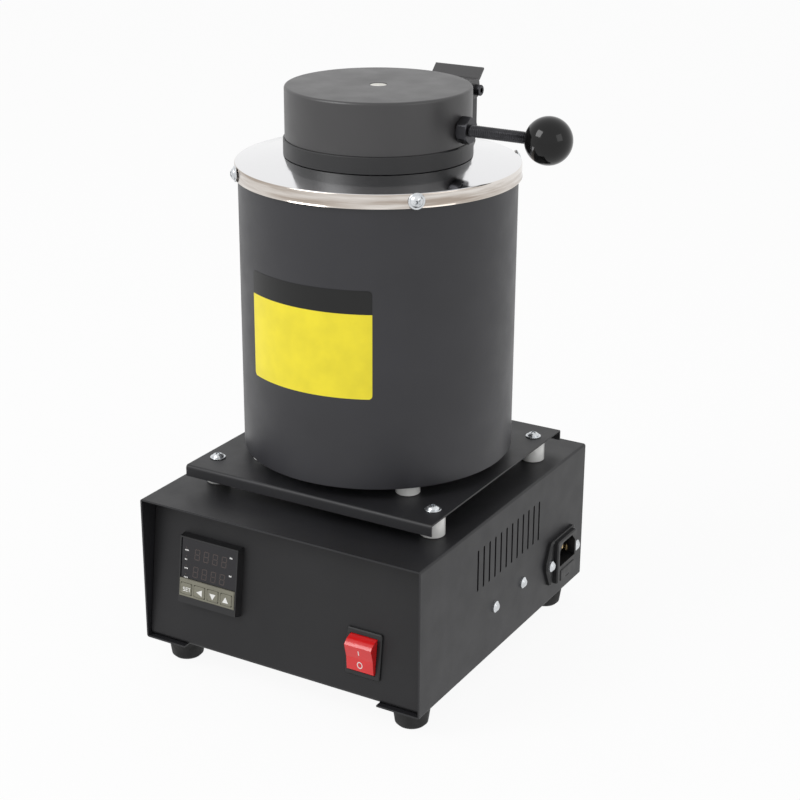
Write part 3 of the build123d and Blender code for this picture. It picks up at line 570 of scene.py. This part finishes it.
def makeCap():
    s = capShape
    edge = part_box("drum_shell")[1].z / mm + s["sheet"] + 0.1
    rise = (s["radius"] - s["hole"]) * s["slope"]
    low = edge - s["skirt"]
    corners = [
        (s["hole"], edge + rise, 0),
        (s["radius"], edge, s["crease"]),
        (s["radius"], low + s["lip"], 0.5),
        (s["radius"] + s["flare"], low, 0),
        (s["radius"] + s["flare"] - s["sheet"], low, 0),
        (s["radius"] - s["sheet"], low + s["lip"], 0),
        (s["radius"] - s["sheet"], edge - s["sheet"], 0),
        (s["hole"], edge + rise - s["sheet"], 0),
    ]
    return finishPiece(
        turnedPiece("polishedCap", corners, "polished_steel", 360), "furnace", "polished_steel", "top_cap"
    )


drumShape = {"radius": 89.3, "sheet": 1.0, "edgeRound": 0.3}


def makeDrum():
    low, high = (corner.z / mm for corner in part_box("drum_shell"))
    outer, soft = drumShape["radius"], drumShape["edgeRound"]
    inner = outer - drumShape["sheet"]
    corners = [(outer, low, soft), (outer, high, 0), (inner, high, 0), (inner, low, soft)]
    return finishPiece(
        turnedPiece("drumSkin", corners, "drum_paint", 360), "furnace", "drum_paint", "drum_shell"
    )


lidShape = {"radius": 59.2, "sheet": 1.5, "edgeRound": 1.9, "hole": 5.4, "holeRound": 0.5}


def makeLid():
    s = lidShape
    low, high = (corner.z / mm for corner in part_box("lid_shell"))
    corners = [
        (s["hole"], high, s["holeRound"]),
        (s["radius"], high, s["edgeRound"]),
        (s["radius"], low, 0.3),
        (s["radius"] - s["sheet"], low, 0.3),
        (s["radius"] - s["sheet"], high - s["sheet"], 0),
        (s["hole"], high - s["sheet"], 0),
    ]
    return finishPiece(
        turnedPiece("lidSkin", corners, "lid_paint", 360, 8), "lid", "lid_paint", "lid_shell"
    )


ventPlug = {"radius": 5.3, "below": 0.3, "into": 0.2}


def makeVentPlug():
    # the fibre that fills the lid's vent hole to just under its top
    s = ventPlug
    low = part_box("lid_insulation")[1].z / mm - s["into"]
    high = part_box("lid_shell")[1].z / mm - s["below"]
    corners = [(0, low, 0), (s["radius"], low, 0), (s["radius"], high, 0.4), (0, high, 0)]
    return finishPiece(turnedPiece("ventPlug", corners, "ceramic_fibre", 96), "lid", "ceramic_fibre")


makeCap()
makeDrum()
makeLid()
makeVentPlug()
print("turned pieces made")

# blank two-tone sticker on the drum

sticker = {
    "from": -119.8, "to": -61.5, "low": 202.9, "high": 272.6, "split": 257.5, "corner": 2.5,
    "radius": 89.32, "thick": 0.12
}


def flatFinish(name, colour, rough):
    material, tree, shader, place = newFinish(name, {"Roughness": rough, "Specular IOR Level": 0.4})
    tree.links.new(
        shades(tree, noise(tree, place, 60, 3), scaledColour(colour, 0.94), scaledColour(colour, 1.04)),
        shader.inputs["Base Color"]
    )
    bump(tree, shader, noise(tree, place, 400, 3), 0.00002, 0.5)
    return material


def makeSticker():
    s = sticker
    start, end = math.radians(s["from"]), math.radians(s["to"])
    width = (end - start) * s["radius"]
    columns = [0.0]
    columns += [s["corner"] * (1 - math.cos(math.radians(15 * step))) for step in range(1, 7)]
    columns += [s["corner"] + (width - 2 * s["corner"]) * step / 60 for step in range(1, 60)]
    columns += [width - value for value in columns[6::-1]]
    mesh = bpy.data.meshes.new("blankSticker")
    work = bmesh.new()
    rows = []
    for along in columns:
        near = min(along, width - along)
        inset = s["corner"] - math.sqrt(max(s["corner"] ** 2 - max(s["corner"] - near, 0) ** 2, 0))
        low, high = s["low"] + inset, s["high"] - inset
        heights = [low, s["low"] + s["corner"], s["split"], s["high"] - s["corner"], high]
        turn = start + along / s["radius"]
        rows.append(
            [
                work.verts.new(
                    (
                        drumAxis.x + s["radius"] * mm * math.cos(turn),
                        drumAxis.y + s["radius"] * mm * math.sin(turn), z * mm
                    )
                ) for z in heights
            ]
        )
    for left, right in zip(rows, rows[1:]):
        for level in range(4):
            face = work.faces.new((left[level], right[level], right[level + 1], left[level + 1]))
            face.material_index = 1 if level >= 2 else 0
    work.to_mesh(mesh)
    work.free()
    closeUp(mesh, 1e-8)
    mesh.materials.append(flatFinish("stickerYellow", (0.90, 0.76, 0.03), 0.34))
    mesh.materials.append(flatFinish("stickerBlack", (0.003, 0.003, 0.003), 0.34))
    piece = addObject("blankSticker", mesh)
    shell = piece.modifiers.new("thickness", "SOLIDIFY")
    shell.thickness = s["thick"] * mm
    shell.offset = 1
    return finishPiece(piece, "furnace", "drum_paint")


makeSticker()
print("sticker made")

# front panel: where things sit on its leaning face

panelFoot = Vector((0, -0.115, 0.0186))
panelLean = math.radians(7.35)
panelUp = Vector((0, math.sin(panelLean), math.cos(panelLean)))
panelOut = Vector((0, -math.cos(panelLean), math.sin(panelLean)))
panelPlace = Matrix.Translation(panelFoot) @ Matrix(
    (Vector((1, 0, 0)), panelUp, panelOut)
).transposed().to_4x4()


def onPanel(x, up, out=0.0):
    # millimetres along the panel, up it and out of it
    return panelPlace @ Matrix.Translation(Vector((x, up, out)) * mm)


def slabMesh(name, outlines, thick, place):
    # flat outlines in millimetres, each given the same small thickness
    work = bmesh.new()
    for outline in outlines:
        low = [work.verts.new(place @ (Vector((x, y, 0)) * mm)) for x, y in outline]
        high = [work.verts.new(place @ (Vector((x, y, thick)) * mm)) for x, y in outline]
        work.faces.new(low[::-1])
        work.faces.new(high)
        for index in range(len(outline)):
            other = (index + 1) % len(outline)
            work.faces.new((low[index], low[other], high[other], high[index]))
    mesh = bpy.data.meshes.new(name)
    bmesh.ops.recalc_face_normals(work, faces=work.faces)
    work.to_mesh(mesh)
    work.free()
    return mesh


def ringOutlines(centre, outer, inner, parts=20, stretch=1.25):
    # a ring as a chain of short four-sided outlines
    outlines = []
    for part in range(parts):
        a, b = (2 * math.pi * (part + step) / parts for step in (0, 1))
        outlines.append([
            (centre[0] + r * math.cos(t), centre[1] + r * stretch * math.sin(t))
            for r, t in ((inner, a), (outer, a), (outer, b), (inner, b))
        ])
    return outlines


markWhite = flatFinish("markWhite", (0.82, 0.82, 0.80), 0.4)
digitGrey = flatFinish("digitGrey", (0.060, 0.046, 0.043), 0.5)


def addMarks(name, outlines, thick, place, finish, body, slot):
    mesh = slabMesh(name, outlines, thick, place)
    mesh.materials.append(finish)
    return finishPiece(addObject(name, mesh), body, slot)


# controller: digits behind the window, small marks and the marks on its four keys

controller = {
    "x": -55.8, "up": 54.4, "windowOut": 4.8,
    "digitWidth": 4.1, "digitHeight": 7.6, "segment": 0.62, "slant": 0.08, "digitPitch": 7.05,
    "firstDigit": -9.7, "rows": (12.1, -0.1),
    "keyMiddle": -12.6, "keyTop": 6.9,
}


def onController(x, up, out):
    return onPanel(controller["x"] + x, controller["up"] + up, out)


def digitTree():
    # seven bars make a digit, and a grid of points carries the digits of both rows
    tree, given = newTree("displayDigits", [
        ("Digit width", "NodeSocketFloat", 0.004), (
            "Digit height", "NodeSocketFloat", 0.008
        ), ("Segment", "NodeSocketFloat", 0.0006),
        ("Pitch", "NodeSocketFloat", 0.007), (
            "Row gap", "NodeSocketFloat", 0.012
        ), ("Count", "NodeSocketInt", 4), ("Rows", "NodeSocketInt", 2),
        ("Thickness", "NodeSocketFloat", 0.00003), ("Finish", "NodeSocketMaterial", None),
    ])
    width, height, bar, thick = given["Digit width"], given[
        "Digit height"
    ], given["Segment"], given["Thickness"]
    flat = sums(tree, "SUBTRACT", width, sums(tree, "MULTIPLY", bar, 1.5))
    tall = sums(tree, "SUBTRACT", sums(tree, "MULTIPLY", height, 0.5), sums(tree, "MULTIPLY", bar, 0.9))
    half = sums(tree, "MULTIPLY", sums(tree, "SUBTRACT", width, bar), 0.5)
    quarter = sums(tree, "MULTIPLY", height, 0.25)
    reach = sums(tree, "MULTIPLY", sums(tree, "SUBTRACT", height, bar), 0.5)
    digit = put(tree, "GeometryNodeJoinGeometry")
    lying = put(
        tree, "GeometryNodeMeshCube",
        {"Size": put(tree, "ShaderNodeCombineXYZ", {0: flat, 1: bar, 2: thick}).outputs[0]}
    )
    standing = put(
        tree, "GeometryNodeMeshCube",
        {"Size": put(tree, "ShaderNodeCombineXYZ", {0: bar, 1: tall, 2: thick}).outputs[0]}
    )

    def lay(shape, x, y):
        offset = put(tree, "ShaderNodeCombineXYZ", {0: x, 1: y}).outputs[0]
        moved = put(
            tree, "GeometryNodeTransform", {"Geometry": shape.outputs["Mesh"], "Translation": offset}
        )
        tree.links.new(moved.outputs[0], digit.inputs[0])

    for side in (-1.0, 0.0, 1.0):
        lay(lying, 0.0, sums(tree, "MULTIPLY", reach, side))
    for across in (-1.0, 1.0):
        for side in (-1.0, 1.0):
            lay(standing, sums(tree, "MULTIPLY", half, across), sums(tree, "MULTIPLY", quarter, side))
    spanX = sums(tree, "MULTIPLY", given["Pitch"], sums(tree, "SUBTRACT", given["Count"], 1))
    spanY = sums(tree, "MULTIPLY", given["Row gap"], sums(tree, "SUBTRACT", given["Rows"], 1))
    grid = put(
        tree, "GeometryNodeMeshGrid",
        {"Size X": spanX, "Size Y": spanY, "Vertices X": given["Count"], "Vertices Y": given["Rows"]}
    )
    placed = put(
        tree, "GeometryNodeInstanceOnPoints",
        {"Points": grid.outputs["Mesh"], "Instance": digit.outputs[0]}
    )
    endTree(tree, placed.outputs[0], given["Finish"])
    return tree


def makeDigits():
    s = controller
    piece = addObject("displayDigits", bpy.data.meshes.new("displayDigits"))
    sizes = {
        "Digit width": s["digitWidth"] * mm, "Digit height": s[
            "digitHeight"
        ] * mm, "Segment": s["segment"] * mm,
        "Pitch": s["digitPitch"] * mm, "Row gap": (s["rows"][0] - s["rows"][1]) * mm, "Finish": digitGrey,
    }
    mesh = grow(piece, digitTree(), sizes)
    lean = Matrix.Identity(4)
    lean[0][1] = s["slant"]
    place = onController(
        s["firstDigit"] + 1.5 * s["digitPitch"], sum(s["rows"]) / 2, s["windowOut"] + 0.03
    )
    mesh.transform(place @ lean)
    finishPiece(piece, "furnace", "window_plastic")


def strokes(x, up, widths, height=0.9, gap=0.35):
    # a row of little upright dashes, standing for small print without any words
    outlines = []
    for width in widths:
        outlines.append([(x, up), (x + width, up), (x + width, up + height), (x, up + height)])
        x += width + gap
    return outlines


windowMarks = {
    # millimetres from the controller's centre
    "left": -19.0, "leftUps": (13.2, 6.8, 0.7, -5.6),
    "leftWidths": ((0.6, 0.9, 0.5), (0.8, 0.5), (0.6, 0.6, 0.7), (0.5, 0.9, 0.6)),
    "right": 16.2, "rightUps": (15.5, 3.2), "rightWidths": (0.8, 0.8), "rightHeight": 1.1,
    "lamp": -17.9, "lampUps": (15.6, 9.5, 3.1, -2.9), "lampRadius": 0.45, "lampSides": 12,
    "out": 4.81, "thick": 0.03,
}


def makeWindowMarks():
    s = windowMarks
    outlines = []
    for up, widths in zip(s["leftUps"], s["leftWidths"]):
        outlines += strokes(s["left"], up, widths)
    for up in s["rightUps"]:
        outlines += strokes(s["right"], up, s["rightWidths"], s["rightHeight"])
    place = onController(0, 0, s["out"])
    addMarks("windowMarks", outlines, s["thick"], place, markWhite, "furnace", "window_plastic")
    turns = [2 * math.pi * side / s["lampSides"] for side in range(s["lampSides"])]
    lamps = [
        [
            (
                s["lamp"] + s["lampRadius"] * math.cos(turn), up + s["lampRadius"] * math.sin(turn)
            ) for turn in turns
        ]
        for up in s["lampUps"]
    ]
    addMarks("windowLamps", lamps, s["thick"], place, digitGrey, "furnace", "window_plastic")


def threeBars(x, y, w, h, t):
    # the level bars and upper left bar that the letters S and E share
    return [
        [(x, y + h - t), (x + w, y + h - t), (x + w, y + h), (x, y + h)],
        [
            (x, y + h / 2 - t / 2), (x + w, y + h / 2 - t / 2), (x + w, y + h / 2 + t / 2),
            (x, y + h / 2 + t / 2)
        ],
        [(x, y), (x + w, y), (x + w, y + t), (x, y + t)],
        [(x, y + h / 2), (x + t, y + h / 2), (x + t, y + h), (x, y + h)],
    ]


def setLabel():
    w, h, t = 1.65, 2.8, 0.45
    left, low = -2.95, -1.4
    bars = threeBars(left, low, w, h, t)
    bars.append([(left + w - t, low), (left + w, low), (left + w, 0), (left + w - t, 0)])
    left += w + 0.45
    bars += threeBars(left, low, w, h, t)
    bars.append([(left, low), (left + t, low), (left + t, 0), (left, 0)])
    left += w + 0.45
    bars.append([(left, low + h - t), (left + w, low + h - t), (left + w, low + h), (left, low + h)])
    stem = left + w / 2
    bars.append(
        [(stem - t / 2, low), (stem + t / 2, low), (stem + t / 2, low + h), (stem - t / 2, low + h)]
    )
    return bars


keyMarks = {
    # key's node: its body, sideways place of the mark from the controller's centre, outlines
    "key_set": ("set_key", -15.1, setLabel()),
    "key_shift": ("shift_key", -5.0, [[(-2.4, 0), (2.0, -2.2), (2.0, 2.2)]]),
    "key_down": ("down_key", 5.4, [[(-2.4, 1.7), (0, -2.3), (2.4, 1.7)]]),
    "key_up": ("up_key", 15.6, [[(-2.4, -1.8), (2.4, -1.8), (0, 2.2)]]),
}


def makeKeyMarks():
    for node, (body, x, outlines) in keyMarks.items():
        place = onController(x, controller["keyMiddle"], controller["keyTop"])
        addMarks(node + "Mark", outlines, 0.05, place, markWhite, body, "keypad_plastic")


# rocker marks

rockerShape = {
    "x": 61.6, "up": 30.4, "pivot": -1.0, "throw": 17.0, "faceTilt": 5.0, "along": 4.65, "height": 7.42,
    "bar": (0.3, 1.7), "ring": (2.0, 1.45), "thick": 0.05,
}


def makeRockerMarks():
    # the two faces tilt from the rocker's own plane, which is turned by its throw
    s = rockerShape
    hub = onPanel(s["x"], s["up"], s["pivot"]) @ Matrix.Rotation(math.radians(s["throw"]), 4, "X")
    upper, lower = (
        hub
        @ Matrix.Translation(Vector((0, side * s["along"], s["height"])) * mm)
        @ Matrix.Rotation(math.radians(side * s["faceTilt"]), 4, "X")
        for side in (1, -1)
    )
    half, tall = s["bar"]
    bar = [(-half, -tall), (half, -tall), (half, tall), (-half, tall)]
    addMarks("markOn", [bar], s["thick"], upper, markWhite, "rocker", "rocker_red")
    addMarks(
        "markOff", ringOutlines((0, 0), *s["ring"]), s["thick"], lower, markWhite, "rocker", "rocker_red"
    )


# ball knob and threaded rod of the handle

knobShape = {"radius": 14.8, "bore": 3.85, "boreDepth": 15.0, "rings": 64, "steps": 128}


def alongX(start, y, z):
    # turns a shape's Z axis to +X and puts its foot at start
    return Matrix.Translation((start, y, z)) @ Matrix.Rotation(math.radians(90), 4, "Y")


def makeKnob():
    s = knobShape
    low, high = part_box("ball_knob")
    centre = high.x - s["radius"] * mm
    foot = low.x - centre
    outline = []
    start = math.acos(foot / (s["radius"] * mm))
    for ring in range(s["rings"] + 1):
        turn = start * (1 - ring / s["rings"])
        outline.append(Vector((s["radius"] * mm * math.sin(turn), s["radius"] * mm * math.cos(turn))))
    depth = foot + s["boreDepth"] * mm
    outline += [Vector((0, depth)), Vector((s["bore"] * mm, depth)), Vector((s["bore"] * mm, foot))]
    middlePoint = middle("ball_knob")
    mesh = turnedMesh("ballKnobSkin", outline, s["steps"], alongX(centre, middlePoint.y, middlePoint.z))
    mesh.materials.append(finishes["knob_plastic"])
    return finishPiece(addObject("ballKnobSkin", mesh), "lid", "knob_plastic", "ball_knob")


makeKnob()


def plainMesh(piece):
    # turns what the modifiers make into the piece's own mesh
    graph = bpy.context.evaluated_depsgraph_get()
    mesh = bpy.data.meshes.new_from_object(piece.evaluated_get(graph), depsgraph=graph)
    piece.modifiers.clear()
    piece.data = mesh
    mesh.name = piece.name
    return mesh


def newTree(name, sizes):
    # a geometry tree with named inputs; sizes are (label, kind, value)
    tree = bpy.data.node_groups.new(name, "GeometryNodeTree")
    tree.interface.new_socket("Geometry", in_out="INPUT", socket_type="NodeSocketGeometry")
    for label, kind, value in sizes:
        socket = tree.interface.new_socket(label, in_out="INPUT", socket_type=kind)
        if value is not None:
            socket.default_value = value
    tree.interface.new_socket("Geometry", in_out="OUTPUT", socket_type="NodeSocketGeometry")
    return tree, tree.nodes.new("NodeGroupInput").outputs


def endTree(tree, geometry, material):
    real = put(tree, "GeometryNodeRealizeInstances", {0: geometry})
    painted = put(tree, "GeometryNodeSetMaterial", {"Geometry": real.outputs[0], "Material": material})
    put(tree, "NodeGroupOutput", {0: painted.outputs[0]})


def grow(piece, tree, values):
    # runs a tree on a piece, with its inputs set by the sockets' identifiers
    modifier = piece.modifiers.new("build", "NODES")
    modifier.node_group = tree
    for item in tree.interface.items_tree:
        if item.in_out == "INPUT" and item.name in values:
            modifier[item.identifier] = values[item.name]
    return plainMesh(piece)


threadShape = {"Radius": 3.8 * mm, "Depth": 0.62 * mm, "Pitch": 1.25 * mm, "Steps per turn": 8}


def threadTree():
    tree, given = newTree("screwThread", [
        ("Radius", "NodeSocketFloat", 0.004), ("Depth", "NodeSocketFloat", 0.0005), (
            "Pitch", "NodeSocketFloat", 0.00125
        ),
        ("Length", "NodeSocketFloat", 0.05), (
            "Steps per turn", "NodeSocketInt", 8
        ), ("Finish", "NodeSocketMaterial", None),
    ])
    rows = sums(
        tree, "DIVIDE", sums(tree, "MULTIPLY", given["Length"], given["Steps per turn"]), given["Pitch"]
    )
    sockets = {"Vertices": 40, "Side Segments": rows, "Radius": given["Radius"], "Depth": given["Length"]}
    core = put(tree, "GeometryNodeMeshCylinder", sockets)
    place = put(tree, "GeometryNodeInputPosition").outputs[0]
    parts = put(tree, "ShaderNodeSeparateXYZ", {0: place})
    turn = sums(tree, "DIVIDE", sums(tree, "ARCTAN2", parts.outputs[1], parts.outputs[0]), 2 * math.pi)
    wave = sums(
        tree, "PINGPONG",
        sums(tree, "SUBTRACT", sums(tree, "DIVIDE", parts.outputs[2], given["Pitch"]), turn), 0.5
    )
    share = sums(
        tree, "DIVIDE", sums(tree, "MULTIPLY", sums(tree, "MULTIPLY", wave, 2.0), given["Depth"]),
        given["Radius"]
    )
    factor = sums(tree, "SUBTRACT", 1.0, share)
    scale = put(tree, "ShaderNodeCombineXYZ", {0: factor, 1: factor, 2: 1.0})
    moved = put(tree, "ShaderNodeVectorMath", {0: place, 1: scale.outputs[0]}, operation="MULTIPLY")
    shaped = put(
        tree, "GeometryNodeSetPosition", {"Geometry": core.outputs["Mesh"], "Position": moved.outputs[0]}
    )
    endTree(tree, shaped.outputs[0], given["Finish"])
    return tree


def makeRod():
    low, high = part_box("handle_rod")
    length = high.x - low.x
    piece = addObject("threadedRod", bpy.data.meshes.new("threadedRod"))
    mesh = grow(piece, threadTree(), {**threadShape, "Length": length, "Finish": finishes["dark_steel"]})
    centre = middle("handle_rod")
    mesh.transform(alongX(low.x + length / 2, centre.y, centre.z))
    closeUp(mesh)
    smoothShade(mesh, 60)
    return finishPiece(piece, "lid", "dark_steel", "handle_rod")


makeRod()
print("handle made")

# pan-head screws and washers

screwHead = {
    "Head radius": 3.9 * mm, "Head height": 2.5 * mm, "Cross width": 0.95 * mm, "Cross length": 4.3 * mm,
    "Cross depth": 1.3 * mm
}
washerShape = {"Washer radius": 5.2 * mm, "Washer thickness": 0.9 * mm}


def screwTree():
    # domed head with a crossed recess on a rounded washer, one on every point, facing its stored direction
    tree, given = newTree("panHeadScrews", [
        ("Head radius", "NodeSocketFloat", 0.004), (
            "Head height", "NodeSocketFloat", 0.0025
        ), ("Cross width", "NodeSocketFloat", 0.001),
        ("Cross length", "NodeSocketFloat", 0.004), ("Cross depth", "NodeSocketFloat", 0.001), (
            "Washer radius", "NodeSocketFloat", 0.005
        ),
        (
            "Washer thickness", "NodeSocketFloat", 0.001
        ), ("Seed", "NodeSocketInt", 3), ("Finish", "NodeSocketMaterial", None),
    ])
    radius, height, thick = given["Head radius"], given["Head height"], given["Washer thickness"]

    def raised(geometry, lift):
        offset = put(tree, "ShaderNodeCombineXYZ", {2: lift}).outputs[0]
        return put(
            tree, "GeometryNodeTransform", {"Geometry": geometry, "Translation": offset}
        ).outputs[0]

    barrel = put(
        tree, "GeometryNodeMeshCylinder", {"Vertices": 48, "Radius": radius, "Depth": height}
    ).outputs["Mesh"]
    ballRadius = sums(tree, "MULTIPLY", radius, 1.22)
    ball = put(
        tree, "GeometryNodeMeshUVSphere", {"Segments": 64, "Rings": 48, "Radius": ballRadius}
    ).outputs["Mesh"]
    ball = raised(ball, sums(tree, "SUBTRACT", height, ballRadius))
    dome = put(tree, "GeometryNodeMeshBoolean", operation="INTERSECT")
    tree.links.new(raised(barrel, sums(tree, "MULTIPLY", height, 0.5)), dome.inputs["Mesh 2"])
    tree.links.new(ball, dome.inputs["Mesh 2"])
    cut = put(tree, "GeometryNodeMeshBoolean", {"Mesh 1": dome.outputs["Mesh"]}, operation="DIFFERENCE")
    deep = sums(tree, "MULTIPLY", given["Cross depth"], 2.0)
    for along, over in ((0, 1), (1, 0)):
        size = put(
            tree, "ShaderNodeCombineXYZ",
            {along: given["Cross length"], over: given["Cross width"], 2: deep}
        ).outputs[0]
        bar = put(tree, "GeometryNodeMeshCube", {"Size": size}).outputs["Mesh"]
        tree.links.new(raised(bar, height), cut.inputs["Mesh 2"])
    ringWidth = sums(tree, "MULTIPLY", given["Washer radius"], 0.55)
    ring = put(
        tree, "GeometryNodeCurvePrimitiveCircle",
        {
            "Resolution": 64,
            "Radius": sums(
                tree, "SUBTRACT", given["Washer radius"], sums(tree, "MULTIPLY", ringWidth, 0.5)
            )
        }
    )
    section = put(tree, "GeometryNodeCurvePrimitiveQuadrilateral", {"Width": ringWidth, "Height": thick})
    soft = put(
        tree, "GeometryNodeFilletCurve",
        {"Curve": section.outputs[0], "Radius": sums(tree, "MULTIPLY", thick, 0.3)}
    )
    if "Count" in soft.inputs:
        soft.inputs["Count"].default_value = 3
    swept = put(
        tree, "GeometryNodeCurveToMesh", {"Curve": ring.outputs[0], "Profile Curve": soft.outputs[0]}
    ).outputs[0]
    one = put(tree, "GeometryNodeJoinGeometry")
    tree.links.new(raised(swept, sums(tree, "MULTIPLY", thick, 0.5)), one.inputs[0])
    tree.links.new(raised(cut.outputs["Mesh"], thick), one.inputs[0])
    facing = put(tree, "GeometryNodeInputNamedAttribute", {"Name": "facing"}, data_type="FLOAT_VECTOR")
    aim = put(tree, "FunctionNodeAlignRotationToVector", {"Vector": facing.outputs[0]}, axis="Z")
    roll = put(
        tree, "FunctionNodeRandomValue", {"Max": 2 * math.pi, "Seed": given["Seed"]}, data_type="FLOAT"
    )
    spin = put(tree, "FunctionNodeAxisAngleToRotation", {"Axis": (0, 0, 1), "Angle": roll.outputs[1]})
    turned = put(
        tree, "FunctionNodeRotateRotation", {"Rotation": aim.outputs[0], "Rotate By": spin.outputs[0]},
        rotation_space="LOCAL"
    )
    placed = put(
        tree, "GeometryNodeInstanceOnPoints",
        {"Points": given["Geometry"], "Instance": one.outputs[0], "Rotation": turned.outputs[0]}
    )
    endTree(tree, placed.outputs[0], given["Finish"])
    return tree


screws = screwTree()


def makeScrews(name, spots, sizes, seed, finish, *replaced):
    # spots are (place, direction) in metres
    mesh = bpy.data.meshes.new(name)
    mesh.from_pydata([spot for spot, facing in spots], [], [])
    stored = mesh.attributes.new("facing", "FLOAT_VECTOR", "POINT")
    for index, (spot, facing) in enumerate(spots):
        stored.data[index].vector = facing
    piece = addObject(name, mesh)
    mesh = grow(
        piece, screws, {**screwHead, **washerShape, **sizes, "Seed": seed, "Finish": finishes[finish]}
    )
    closeUp(mesh)
    smoothShade(mesh)
    return finishPiece(piece, "furnace", finish, *replaced)


capScrewSpots = {"angles": [45, 135, 225, 315], "radius": 91.8, "height": 328.1}


def makeCapScrews():
    s = capScrewSpots
    spots = []
    for angle in s["angles"]:
        out = Vector((math.cos(math.radians(angle)), math.sin(math.radians(angle)), 0))
        spots.append((Vector((drumAxis.x, drumAxis.y, s["height"] * mm)) + out * s["radius"] * mm, out))
    makeScrews("capScrewHeads", spots, {}, 5, "zinc_steel", "cap_screws", "cap_washers")


def boxSpots(node, facing):
    # the lowest and highest corners of a node with four like solids give the four places
    low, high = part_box(node)
    half = washerShape["Washer radius"]
    top = low.z
    return [
        (
            Vector((x, y, top)), facing
        ) for x in (low.x + half, high.x - half) for y in (low.y + half, high.y - half)
    ]


makeCapScrews()
makeScrews(
    "plateScrewHeads", boxSpots("plate_washers", Vector((0, 0, 1))), {}, 8, "zinc_steel", "plate_screws",
    "plate_washers"
)
print("screws made")

makeDigits()
makeWindowMarks()
makeKeyMarks()
makeRockerMarks()
print("front panel marked")
